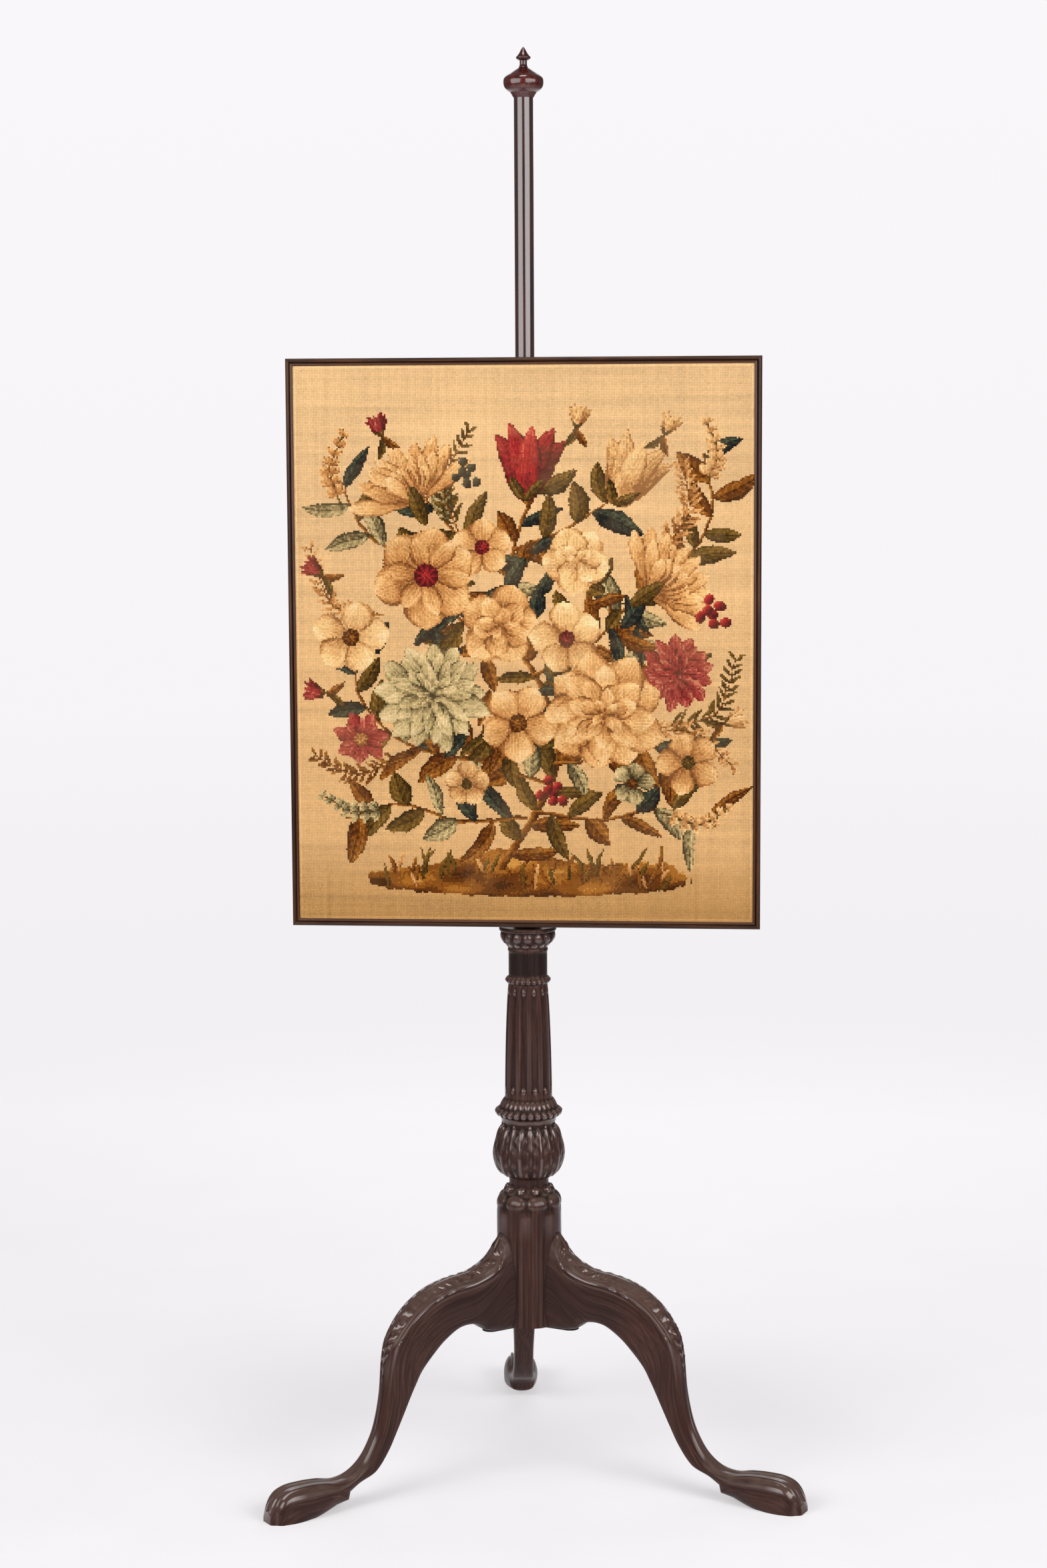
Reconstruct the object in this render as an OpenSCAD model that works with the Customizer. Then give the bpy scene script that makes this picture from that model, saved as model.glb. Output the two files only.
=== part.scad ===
// Pole screen: a framed needlework panel that slides and swivels on a turned
// mahogany pole, over a carved column and three cabriole legs. Sizes in mm, +Z up.

/* [Tripod] */
// Height of the pillar's underside over the floor
pillar_clear = 167; // [150:1:185]
// Turn of the tripod under the screen, in degrees
tripod_turn = 7.2; // [-30:0.2:30]
// Radius from the pole's axis to the toes
leg_reach = 331; // [318:1:346]
// Height of the leg where it meets the pillar
leg_root_h = 108; // [90:1:110]
// Thickness of the leg at the pillar and over the knee
leg_root_t = 40; // [34:0.5:44]
// Radius to the front of the knee
knee_r = 144; // [136:1:148]
// Height of the knee's crown
knee_z = 219; // [210:1:224]
// Radius to the front of the ankle
ankle_r = 203; // [198:1:208]
// Height of the ankle
ankle_z = 63; // [59:1:68]
// Thickness of the leg at the ankle
ankle_t = 23; // [19:0.5:27]
// Radius to the crown of the arch under the leg
arch_r = 86; // [82:1:92]
// Height of the arch's crown
arch_z = 179; // [176:1:186]
// Length of the foot from heel to toe
foot_len = 73; // [66:1:78]
// Height of the foot's instep
foot_h = 36; // [32:1:40]
// Width of the foot
foot_w = 41; // [36:1:46]
// Thickness of the wrought-iron strap under the pillar
iron_t = 3; // [2:0.5:4]
// Radius to the ends of the strap's arms
iron_reach = 60; // [54:1:62]
// Width of each strap arm
iron_w = 19; // [16:1:22]

/* [Column] */
// Diameter of the leg block at the foot of the column
block_d = 71; // [66:0.2:74]
// Height of the leg block
block_h = 131; // [120:1:140]
// Height of the carved dome over the leg block
dome_h = 21; // [17:1:25]
// Diameter of the waist under the vase
waist_d = 43; // [38:0.2:46]
// Height of the waist under the vase
waist_h = 11; // [8:0.5:14]
// Height of the vase up to its widest part
vase_low_h = 27; // [25:1:34]
// Diameter of the vase at its widest part
belly_d = 77.6; // [72:0.2:82]
// Height of the vase over its widest part
vase_top_h = 37; // [30:1:40]
// Diameter of the vase's neck
vase_neck_d = 59; // [56:0.2:62]
// Diameter of the leaf collar
collar_d = 72.4; // [68:0.2:76]
// Height of the leaf collar
collar_h = 27; // [24:1:31]
// Diameter at the foot of the fluted shaft
shaft_low_d = 51.8; // [50:0.2:54]
// Diameter at the head of the fluted shaft
shaft_top_d = 43; // [40:0.2:44]
// Length of the fluted shaft
shaft_h = 124; // [105:1:135]
// Number of flutes around the shaft
flute_count = 12; // [8:1:16]
// Width of each flute at the foot of the shaft
flute_w = 8.4; // [6:0.2:9]
// Depth of each flute
flute_depth = 2; // [1:0.2:3]
// Diameter of the ring over the shaft
ring_d = 49; // [46:0.5:52]
// Height of the ring over the shaft
ring_h = 10; // [8:0.5:16]
// Diameter of the plain neck
neck_d = 42.4; // [39:0.2:44]
// Height of the plain neck
neck_h = 29; // [24:1:34]
// Diameter of the cap's ovolo
ovolo_d = 59.4; // [54:0.2:62]
// Diameter of the cap's slab
cap_d = 62.6; // [61:0.2:66]
// Thickness of the cap's slab
slab_h = 4.2; // [3:0.1:6]
// Height of the cap
cap_h = 25; // [22:0.5:28]

/* [Pole and finial] */
// Diameter of the pole
pole_d = 20.5; // [19:0.5:22]
// Length of pole between the cap and the finial
pole_show = 886; // [860:1:930]
// Depth of the pole in the column
socket_depth = 130; // [100:1:150]
// Diameter of the spigot that carries the finial
spigot_d = 12; // [10:0.5:14]
// Length of the spigot
spigot_len = 20; // [14:1:22]
// Diameter of the finial's knop
knop_d = 42.6; // [38:0.2:46]
// Height of the finial's knop
knop_h = 29; // [27:0.5:32]
// Height of the spire over the knop
spire_h = 23.7; // [21:0.1:28]

/* [Screen] */
// Width of the screen over its mouldings
screen_w = 506; // [460:1:560]
// Height of the screen over its mouldings
screen_h = 610; // [560:1:630]
// Gap between the cap and the screen's lower edge, at its lowest
screen_gap = 4; // [3:0.5:8]
// Gap between the pole and the back of the screen
back_gap = 7; // [6.5:0.5:10]
// Width of the moulding's face
moulding_w = 8; // [6:0.5:12]
// Depth of the moulding, front to back
moulding_t = 20; // [19:0.5:24]
// Width of the strainer's bars
strainer_w = 38; // [34:1:46]
// Thickness of the strainer's bars
strainer_t = 15; // [13:0.5:16]
// Thickness of the tenons in the strainer's corners
tenon_t = 5; // [4:0.5:6]
// Thickness of the worked canvas
canvas_t = 1.6; // [1:0.1:2]
// Thickness of the backing cloth
cloth_t = 0.8; // [0.5:0.1:1]

/* [Sliding rings] */
// Wall of the leather liners
liner_wall = 2; // [1.5:0.1:2.5]
// Width of the liner's flange beyond its wall
flange_w = 1.9; // [1.2:0.1:2]
// Thickness of the liner's flanges
flange_t = 1.5; // [1:0.1:2]
// Wall of the brass rings
ring_wall = 3.3; // [3:0.1:3.5]
// Height of the brass rings
ring_len = 16; // [14:0.5:18]
// Width of the brass plate that carries each ring
plate_w = 46; // [40:1:60]
// Height of the plate
plate_h = 32; // [30:1:34]
// Thickness of the plate
plate_t = 2.5; // [2:0.1:2.7]
// Spacing of the two screws in each plate
screw_pitch = 31; // [26:1:34]
// Diameter of the wood screws' shanks
screw_d = 3.4; // [3:0.1:4]
// Diameter of the wood screws' heads
screw_head_d = 7; // [6:0.1:7.6]
// Length of the plate screws
plate_screw_len = 13; // [10:1:14]
// Length of the strap screws
strap_screw_len = 26; // [18:1:32]
// Diameter of the clamping screw
clamp_d = 5; // [4:0.5:6]
// Diameter of the clamping pad
pad_d = 8; // [7:0.5:9]
// Thickness of the clamping pad
pad_t = 2; // [1.5:0.1:2.5]
// Travel of the clamping screw
clamp_travel = 2; // [1:0.5:3]
// Length of the boss over the ring
boss_len = 7; // [6:0.5:9]
// Diameter of the boss
boss_d = 13; // [12:0.5:15]
// Diameter of the clamping knob
knob_d = 19; // [16:0.5:24]
// Thickness of the clamping knob
knob_t = 8; // [6:0.5:10]
// Number of grip notches around the knob
knob_notches = 18; // [12:1:24]

/* [Fits] */
// Radial clearance of the pole and the spigot in their sockets
socket_clear = 0.1; // [0.05:0.05:0.2]
// Clearance of the dovetails and tenons
joint_clear = 0.15; // [0.1:0.05:0.3]
// Radial running clearance of the liners, rings and clamping screw
run_clear = 0.08; // [0.05:0.01:0.1]
// Gap between pieces that rest on each other but move apart
rest_clear = 0.3; // [0.2:0.05:0.4]

/* [Hidden] */
$fn = 64;
eps = 0.01;
mahogany = [0.25, 0.13, 0.09];
dark_mahogany = [0.17, 0.11, 0.09];
pine = [0.78, 0.62, 0.42];
brass = [0.78, 0.62, 0.30];
iron = [0.22, 0.22, 0.23];
leather = [0.33, 0.20, 0.12];

// Levels up the column
block_top = pillar_clear + block_h;
waist_z = block_top + dome_h;
vase_z = waist_z + waist_h;
belly_z = vase_z + vase_low_h;
vase_top = belly_z + vase_top_h;
collar_top = vase_top + collar_h;
shaft_top = collar_top + shaft_h;
ring_top = shaft_top + ring_h;
neck_top = ring_top + neck_h;
cap_top = neck_top + cap_h;
finial_z = cap_top + pole_show;
block_r = block_d / 2;
pole_r = pole_d / 2;

// A curve from p0 to p1 that bends towards c, without its first point
function bend(p0, c, p1, n = 6) =
    [for (i = [1:n]) let (t = i / n) (1 - t) * (1 - t) * p0 + 2 * t * (1 - t) * c + t * t * p1];

// A half-round swelling of height out between two levels of a turned outline
function swelling(r, z0, z1, out, n = 8) =
    [for (i = [0:n]) [r + out * sin(180 * i / n), z0 + (z1 - z0) * i / n]];

// An arc of points about c
function arc(c, r, a0, a1, n = 6) =
    [for (i = [0:n]) let (a = a0 + (a1 - a0) * i / n) c + r * [cos(a), sin(a)]];

function round_rect(w, h, r) = concat(
    arc([w / 2 - r, h / 2 - r], r, 0, 90),
    arc([r - w / 2, h / 2 - r], r, 90, 180),
    arc([r - w / 2, r - h / 2], r, 180, 270),
    arc([w / 2 - r, r - h / 2], r, 270, 360));

// Wood screw with its head's face at z = 0, pointing down, and the hole that takes it
module wood_screw(len) {
    head_h = (screw_head_d - screw_d) / 2;
    slot_w = screw_d / 4;
    difference() {
        union() {
            translate([0, 0, -head_h])
                cylinder(d1 = screw_d, d2 = screw_head_d, h = head_h);
            translate([0, 0, -len])
                cylinder(d = screw_d, h = len - head_h + eps);
        }
        cube([screw_head_d + 1, slot_w, slot_w * 2], center = true);
    }
}

module screw_hole(len) {
    grow = 2 * joint_clear;
    head_h = (screw_head_d - screw_d) / 2;
    translate([0, 0, -head_h])
        cylinder(d1 = screw_d + grow, d2 = screw_head_d + grow, h = head_h + eps);
    translate([0, 0, -len - joint_clear])
        cylinder(d = screw_d + grow, h = len);
}

// Column
lip_z = vase_top + collar_h * 0.4;
ovolo_z = neck_top + cap_h * 0.34;
slab_z = cap_top - slab_h;
column_outline = concat(
    [[0, pillar_clear], [block_r, pillar_clear], [block_r, block_top]],
    bend([block_r, block_top], [block_r, block_top + dome_h * 0.62],
         [waist_d / 2 + 3.7, waist_z - 3.5], 8),
    [[waist_d / 2, waist_z], [waist_d / 2, vase_z]],
    bend([waist_d / 2 + 0.7, vase_z], [belly_d / 2 - 1.5, vase_z + vase_low_h * 0.17],
         [belly_d / 2, belly_z], 8),
    bend([belly_d / 2, belly_z], [belly_d / 2 - 1, belly_z + vase_top_h * 0.38],
         [vase_neck_d / 2, vase_top - 7], 8),
    [[vase_neck_d / 2, vase_top - 3], [vase_neck_d / 2 + 1, vase_top + 3]],
    bend([vase_neck_d / 2 + 1.6, vase_top + 3.6], [collar_d / 2 - 1, vase_top + 4.5],
         [collar_d / 2, lip_z]),
    bend([collar_d / 2, lip_z], [shaft_low_d / 2 + 3, collar_top - 9],
         [shaft_low_d / 2 + 0.4, collar_top - 1]),
    [[shaft_low_d / 2, collar_top], [shaft_top_d / 2, shaft_top]],
    swelling(shaft_top_d / 2, shaft_top + 1, ring_top - 1, (ring_d - shaft_top_d) / 2),
    [[neck_d / 2, ring_top]],
    swelling(neck_d / 2, neck_top - 3, neck_top + 2, 0.8),
    bend([neck_d / 2 + 0.3, neck_top + 2.2], [neck_d / 2 + 1, ovolo_z - 1],
         [ovolo_d / 2 - 3.6, ovolo_z - 0.6]),
    bend([ovolo_d / 2 - 2.8, ovolo_z], [ovolo_d / 2, ovolo_z + 1.5], [ovolo_d / 2, ovolo_z + 7]),
    [[ovolo_d / 2 - 0.3, slab_z - 0.6], [cap_d / 2, slab_z], [cap_d / 2, cap_top - 0.7],
     [cap_d / 2 - 0.7, cap_top], [0, cap_top]]);

// Each flute is a leaning round groove with hemispherical ends
flute_inset = 7;
flute_low_r = flute_w / 2;
flute_sink = (flute_low_r * flute_low_r + flute_depth * flute_depth) / (2 * flute_depth);
shaft_lean = atan((shaft_low_d - shaft_top_d) / 2 / shaft_h);

module flute() {
    run = (shaft_h - 2 * flute_inset) / cos(shaft_lean);
    start_r = shaft_low_d / 2 - flute_inset * tan(shaft_lean) + flute_sink - flute_depth;
    translate([start_r, 0, collar_top + flute_inset])
        rotate([0, -shaft_lean, 0]) {
            cylinder(r = flute_sink, h = run);
            sphere(r = flute_sink);
            translate([0, 0, run])
                sphere(r = flute_sink);
        }
}

// Three flats and stopped dovetail housings take the legs
shoulder_r = sqrt(block_r * block_r - leg_root_t * leg_root_t / 4) - 0.2;
tongue_in = 16;
tongue_neck = 14;
tongue_end = 20;
tongue_stop = 15;
leg_angles = [for (i = [0:2]) 90 + 120 * i + tripod_turn];

module dovetail(clear, h) {
    inner = shoulder_r - tongue_in - clear;
    linear_extrude(h)
        polygon([[inner, -tongue_end / 2 - clear], [shoulder_r + 8, -tongue_neck / 2 + 1 - clear],
                 [shoulder_r + 8, tongue_neck / 2 - 1 + clear], [inner, tongue_end / 2 + clear]]);
}

module strap_screw_places() {
    place_r = [shoulder_r + 11, iron_reach - 8];
    translate([0, 0, pillar_clear - iron_t])
        rotate([180, 0, 0])
            children();
    for (a = leg_angles, r = place_r)
        rotate([0, 0, a])
            translate([r, 0, pillar_clear - iron_t])
                rotate([180, 0, 0])
                    children();
}

module column() {
    color(dark_mahogany)
        difference() {
            rotate_extrude($fn = 128)
                polygon(column_outline);
            translate([0, 0, cap_top - socket_depth])
                cylinder(r = pole_r + socket_clear, h = socket_depth + 1);
            for (i = [0:flute_count - 1])
                rotate([0, 0, tripod_turn + 360 * (i + 0.5) / flute_count])
                    flute();
            for (a = leg_angles)
                rotate([0, 0, a]) {
                    translate([shoulder_r, 0, 0])
                        rotate([90, 0, 90])
                            linear_extrude(block_r)
                                polygon(shoulder_outline(joint_clear));
                    translate([0, 0, pillar_clear - 1])
                        dovetail(joint_clear, leg_root_h - tongue_stop + 1 + joint_clear);
                }
            strap_screw_places()
                screw_hole(strap_screw_len);
        }
}

// Pole, with its finial on a spigot
module pole() {
    color(mahogany) {
        translate([0, 0, cap_top - socket_depth])
            cylinder(r = pole_r, h = socket_depth + pole_show);
        translate([0, 0, finial_z - eps])
            cylinder(d = spigot_d, h = spigot_len + eps);
    }
}

spool_r = 3.9;
disc_r = 7.8;
knop_r = knop_d / 2;
knop_neck = [14.2, 5.6];
shoulder = [knop_r - 4.5, knop_h - 5.4];
spool_foot = [spool_r + 1.6, knop_h + 1.8];
finial_outline = concat(
    [[0, 0], [pole_r + 0.4, 0]],
    bend([pole_r + 0.4, 0], [knop_neck[0] - 2, 3], knop_neck),
    bend(knop_neck, [knop_r - 1, knop_neck[1] + 3.6], [knop_r, knop_h - 13], 8),
    bend([knop_r, knop_h - 13], [knop_r, knop_h - 8.5], shoulder, 8),
    bend(shoulder, [spool_foot[0] + 4, knop_h - 0.8], spool_foot, 8),
    bend(spool_foot, [spool_r, knop_h + 3.4], [spool_r, knop_h + 6]),
    [[spool_r, knop_h + 9.2]],
    bend([spool_r, knop_h + 9.2], [disc_r, knop_h + 10.6], [disc_r, knop_h + 13]),
    bend([disc_r, knop_h + 13], [5.2, knop_h + 15.6], [3.6, knop_h + spire_h - 5.2]),
    bend([3.6, knop_h + spire_h - 5.2], [2, knop_h + spire_h - 1.9], [0, knop_h + spire_h]));

module finial() {
    color(mahogany)
        translate([0, 0, finial_z])
            difference() {
                rotate_extrude($fn = 96)
                    polygon(finial_outline);
                translate([0, 0, -1])
                    cylinder(r = spigot_d / 2 + socket_clear, h = spigot_len + 1 + rest_clear);
            }
}

// Cabriole leg: stations from the pillar to the toe, each with a point on the upper edge,
// a point on the lower edge, the thickness there, how far its edges are beaded, how far
// its crest is drawn in and how far it is rounded under
root_top = pillar_clear + leg_root_h;
heel_r = leg_reach - foot_len;
root_crest = 0.25;
leg_stations = [
    [shoulder_r, root_top, shoulder_r, pillar_clear - 2, leg_root_t, 0, root_crest, 0],
    [block_r + 2, root_top - 6, shoulder_r + 14, pillar_clear - 2, leg_root_t, 0, root_crest, 0],
    [block_r + 15, root_top - 25, arch_r - 24, pillar_clear + 1, leg_root_t, 1, 0.24, 0],
    [knee_r - 68, knee_z + 17, arch_r - 8, arch_z - 1.5, leg_root_t, 1, 0.16, 0],
    [knee_r - 36, knee_z + 12, arch_r + 12, arch_z - 2, leg_root_t, 1, 0.12, 0],
    [knee_r - 10, knee_z + 4, arch_r + 31, arch_z - 13, leg_root_t - 1, 1, 0.1, 0],
    [knee_r + 16, knee_z - 13, knee_r - 13, arch_z - 27, leg_root_t - 4, 1, 0.1, 0],
    [knee_r + 36, knee_z - 38, knee_r, arch_z - 43, leg_root_t - 9, 1, 0.1, 0],
    [knee_r + 43, knee_z - 61, knee_r + 8, arch_z - 58, ankle_t + 5, 0.6, 0.1, 0],
    [ankle_r - 12, ankle_z + 54, ankle_r - 42, ankle_z + 40, ankle_t + 2, 0.15, 0.1, 0],
    [ankle_r - 5, ankle_z + 20, ankle_r - 29, ankle_z + 13, ankle_t, 0, 0.05, 0],
    [ankle_r + 4, ankle_z - 1, ankle_r - 17, ankle_z - 9, ankle_t, 0, 0, 0],
    [ankle_r + 15, ankle_z - 17, ankle_r - 1, ankle_z - 28, ankle_t + 2, 0, 0, 0],
    [heel_r - 26, foot_h - 1, ankle_r + 20, ankle_z - 38, ankle_t + 5, 0, 0, 0.5],
    [heel_r - 8, foot_h - 4, heel_r - 18, 13, foot_w - 8, 0, 0, 1],
    [heel_r + 10, foot_h - 2, heel_r - 4, 4, foot_w - 3, 0, 0, 1],
    [heel_r + 28, foot_h - 1, heel_r + 22, -2, foot_w, 0, 0, 0.4],
    [leg_reach - 25, foot_h - 2, leg_reach - 24, -2, foot_w - 3, 0, 0, 0],
    [leg_reach - 11, foot_h - 9, leg_reach - 9, -2, foot_w - 11, 0, 0, 0],
    [leg_reach - 2, 12, leg_reach - 1, -2, foot_w - 25, 0, 0, 0]];

// Right half of the leg's section from the lower edge to the upper edge, as shares of
// the half thickness and of the depth: with beaded upper edges, plain, and rounded under
beaded_half = [[0.5, 0], [0.86, 0.05], [0.96, 0.18], [0.98, 0.5], [0.94, 0.7], [0.91, 0.76],
               [1, 0.8], [1, 0.86], [0.9, 0.89], [0.74, 0.91], [0.36, 0.975]];
plain_half = [[0.5, 0], [0.86, 0.04], [0.98, 0.16], [1, 0.38], [0.97, 0.56], [0.92, 0.68],
              [0.84, 0.79], [0.73, 0.87], [0.59, 0.93], [0.42, 0.97], [0.22, 0.995]];
pad_half = [[0.14, 0], [0.45, 0.04], [0.72, 0.14], [0.9, 0.3], [0.98, 0.47], [0.95, 0.64],
            [0.86, 0.77], [0.73, 0.87], [0.59, 0.93], [0.42, 0.97], [0.22, 0.995]];
half_points = len(plain_half);

function section_half(bead, pad) =
    bead * beaded_half + (1 - bead) * ((1 - pad) * plain_half + pad * pad_half);

function section(bead, pad) = let (half = section_half(bead, pad)) concat(
    half,
    [[0, 1]],
    [for (i = [half_points - 1:-1:0]) [-half[i][0], half[i][1]]]);

// A smooth curve through the stations
function glide(a, b, c, d, t) =
    0.5 * (2 * b + t * (c - a) + t * t * (2 * a - 5 * b + 4 * c - d) + t * t * t * (3 * b - a - 3 * c + d));

span_steps = 2;
last_station = len(leg_stations) - 1;
leg_path = concat(
    [for (i = [0:last_station - 1], k = [0:span_steps - 1])
        glide(leg_stations[max(i - 1, 0)], leg_stations[i], leg_stations[i + 1],
              leg_stations[min(i + 2, last_station)], k / span_steps)],
    [leg_stations[last_station]]);

// Share of the thickness left at a height in the section, where the crest draws in
function drawn_in(h, crest) = 1 - crest * pow(max(0, 2 * h - 1), 2);

function leg_ring(s) = [for (p = section(max(0, s[5]), max(0, s[7])))
    [s[2] + (s[0] - s[2]) * p[1],
     p[0] * s[4] / 2 * drawn_in(p[1], s[6]),
     s[3] + (s[1] - s[3]) * p[1]]];

// The shoulder's outline across the pillar's flat, with room around it
function shoulder_outline(clear) = [for (p = leg_ring(leg_stations[0]))
    [p[1] + sign(p[1]) * clear, p[2] + clear]];

ring_points = 2 * half_points + 1;

module leg_loft() {
    rings = len(leg_path);
    points = [for (s = leg_path) each leg_ring(s)];
    sides = [for (i = [0:rings - 2], j = [0:ring_points - 1])
        let (a = i * ring_points + j,
             b = i * ring_points + (j + 1) % ring_points,
             c = b + ring_points,
             d = a + ring_points)
        each [[a, d, b], [b, d, c]]];
    root = [[for (j = [0:ring_points - 1]) j]];
    toe = [[for (j = [ring_points - 1:-1:0]) (rings - 1) * ring_points + j]];
    polyhedron(points, concat(sides, root, toe), convexity = 6);
}

module leg(angle) {
    flat_to = arch_r - 22;
    color(dark_mahogany)
        difference() {
            rotate([0, 0, angle])
                difference() {
                    union() {
                        leg_loft();
                        translate([0, 0, pillar_clear])
                            dovetail(0, leg_root_h - tongue_stop);
                    }
                    translate([0, -leg_root_t, pillar_clear - 20])
                        cube([flat_to, 2 * leg_root_t, 20]);
                    translate([heel_r - 40, -foot_w, -20])
                        cube([foot_len + 60, 2 * foot_w, 20]);
                }
            strap_screw_places()
                screw_hole(strap_screw_len);
        }
}

module leg_back() { leg(leg_angles[0]); }
module leg_front_left() { leg(leg_angles[1]); }
module leg_front_right() { leg(leg_angles[2]); }

module tripod_iron() {
    hub_r = shoulder_r - 4;
    color(iron)
        difference() {
            translate([0, 0, pillar_clear - iron_t])
                union() {
                    cylinder(r = hub_r, h = iron_t);
                    for (a = leg_angles)
                        rotate([0, 0, a]) {
                            translate([0, -iron_w / 2, 0])
                                cube([iron_reach - iron_w / 2, iron_w, iron_t]);
                            translate([iron_reach - iron_w / 2, 0, 0])
                                cylinder(d = iron_w, h = iron_t);
                        }
                }
            strap_screw_places()
                screw_hole(strap_screw_len);
        }
}

module tripod_iron_screws() {
    color(iron)
        strap_screw_places()
            wood_screw(strap_screw_len);
}

// Sliding rings: a flanged leather liner on the pole and a brass ring that turns on it
liner_in = pole_r + run_clear;
liner_out = liner_in + liner_wall;
ring_in = liner_out + run_clear;
ring_out = ring_in + ring_wall;
flange_r = liner_out + flange_w;
liner_len = ring_len + 2 * rest_clear + 2 * flange_t;
screen_low = cap_top + screen_gap;
screen_top = screen_low + screen_h;
lower_liner_z = cap_top + rest_clear;
lower_ring_z = lower_liner_z + flange_t + rest_clear;
upper_ring_z = screen_top - moulding_w - strainer_w / 2 - ring_len / 2;
upper_liner_z = upper_ring_z - rest_clear - flange_t;

module ring_liner(z) {
    color(leather)
        translate([0, 0, z])
            difference() {
                union() {
                    cylinder(r = liner_out, h = liner_len);
                    cylinder(r = flange_r, h = flange_t);
                    translate([0, 0, liner_len - flange_t])
                        cylinder(r = flange_r, h = flange_t);
                }
                translate([0, 0, -1])
                    cylinder(r = liner_in, h = liner_len + 2);
            }
}

module upper_ring_liner() { ring_liner(upper_liner_z); }
module lower_ring_liner() { ring_liner(lower_liner_z); }

// Depths through the screen, from its back to its worked face
screen_back = -(pole_r + back_gap);
strainer_back = screen_back - cloth_t;
strainer_front = strainer_back - strainer_t;
screen_front = screen_back - moulding_t;
inner_w = screen_w - 2 * moulding_w;
inner_h = screen_h - 2 * moulding_w;
plate_margin = 3;
upper_plate_z = screen_top - moulding_w - strainer_w / 2;
lower_plate_z = screen_low + plate_margin + plate_h / 2;
lower_screw_z = screen_low + moulding_w + strainer_w / 2;

module plate_screw_places(z) {
    for (side = [-1, 1])
        translate([side * screw_pitch / 2, screen_back + plate_t, z])
            rotate([-90, 0, 0])
                children();
}

module all_plate_screw_places() {
    plate_screw_places(upper_plate_z)
        children();
    plate_screw_places(lower_screw_z)
        children();
}

module ring_bracket(ring_z, plate_z) {
    neck_w = 2 * ring_out * 0.56;
    plate_round = 6;
    difference() {
        union() {
            translate([0, screen_back + plate_t, plate_z])
                rotate([90, 0, 0])
                    linear_extrude(plate_t)
                        polygon(round_rect(plate_w, plate_h, plate_round));
            translate([0, 0, ring_z])
                cylinder(r = ring_out, h = ring_len);
            translate([-neck_w / 2, screen_back + eps, ring_z])
                cube([neck_w, -screen_back, ring_len]);
            children();
        }
        translate([0, 0, ring_z - 1])
            cylinder(r = ring_in, h = ring_len + 2);
        all_plate_screw_places()
            screw_hole(plate_screw_len);
    }
}

// Clamp: a pad in the upper ring, pressed on the liner by a knobbed screw
clamp_z = upper_ring_z + ring_len / 2;
pad_in = liner_out + rest_clear;
pad_out = pad_in + pad_t;
pocket_end = pad_out + clamp_travel + rest_clear;
boss_end = ring_out + boss_len;

module along_back(y) {
    translate([0, y, clamp_z])
        rotate([-90, 0, 0])
            children();
}

module upper_ring_bracket() {
    color(brass)
        difference() {
            ring_bracket(upper_ring_z, upper_plate_z)
                along_back(0)
                    cylinder(d = boss_d, h = boss_end);
            along_back(0)
                cylinder(r = pad_d / 2 + joint_clear, h = pocket_end);
            along_back(0)
                cylinder(r = clamp_d / 2 + run_clear, h = boss_end + 1);
        }
}

module lower_ring_bracket() {
    color(brass)
        ring_bracket(lower_ring_z, lower_plate_z);
}

module bracket_screws() {
    color(brass)
        all_plate_screw_places()
            wood_screw(plate_screw_len);
}

module clamp_pad() {
    color(brass)
        along_back(pad_in)
            cylinder(d = pad_d, h = pad_t);
}

module thumbscrew() {
    neck_len = 5;
    knob_y = boss_end + 1 + neck_len;
    notch_r = knob_d / 22;
    color(brass)
        difference() {
            union() {
                along_back(pad_out + joint_clear)
                    cylinder(d = clamp_d, h = knob_y - pad_out);
                along_back(boss_end + 1)
                    cylinder(d1 = clamp_d * 1.8, d2 = clamp_d * 1.4, h = neck_len + eps);
                along_back(knob_y)
                    rotate_extrude()
                        polygon(concat([[0, 0], [knob_d / 2 - 1, 0], [knob_d / 2, 1]],
                                       bend([knob_d / 2, knob_t - 2], [knob_d / 2, knob_t],
                                            [knob_d / 2 - 2.5, knob_t], 4),
                                       [[0, knob_t + 0.8]]));
            }
            for (i = [0:knob_notches - 1])
                along_back(knob_y - 1)
                    rotate([0, 0, 360 * i / knob_notches])
                        translate([knob_d / 2 + notch_r * 0.3, 0, 0])
                            cylinder(r = notch_r, h = knob_t + 3, $fn = 24);
        }
}

// Strainer: two stiles with open mortises and two rails with tenons
stile_x = inner_w / 2 - strainer_w;

module bar(w, h) {
    translate([-w / 2, strainer_front, -h / 2])
        cube([w, strainer_t, h]);
}

module strainer_rail(z) {
    color(pine)
        difference() {
            union() {
                translate([0, 0, z])
                    bar(2 * stile_x, strainer_w);
                translate([-inner_w / 2, (strainer_front + strainer_back - tenon_t) / 2, z - strainer_w / 2])
                    cube([inner_w, tenon_t, strainer_w]);
            }
            all_plate_screw_places()
                screw_hole(plate_screw_len);
        }
}

module strainer_stile(side) {
    mortise_t = tenon_t + 2 * joint_clear;
    mortise_h = strainer_w + joint_clear;
    color(pine)
        difference() {
            translate([side * (stile_x + strainer_w / 2), 0, (screen_low + screen_top) / 2])
                bar(strainer_w, inner_h);
            for (z = [screen_low + moulding_w - 1, screen_top - moulding_w - mortise_h])
                translate([side * (stile_x + strainer_w / 2) - strainer_w,
                           (strainer_front + strainer_back - mortise_t) / 2, z])
                    cube([2 * strainer_w, mortise_t, mortise_h + 1]);
        }
}

module strainer_top_rail() { strainer_rail(screen_top - moulding_w - strainer_w / 2); }
module strainer_bottom_rail() { strainer_rail(lower_screw_z); }
module strainer_left_stile() { strainer_stile(-1); }
module strainer_right_stile() { strainer_stile(1); }

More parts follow.
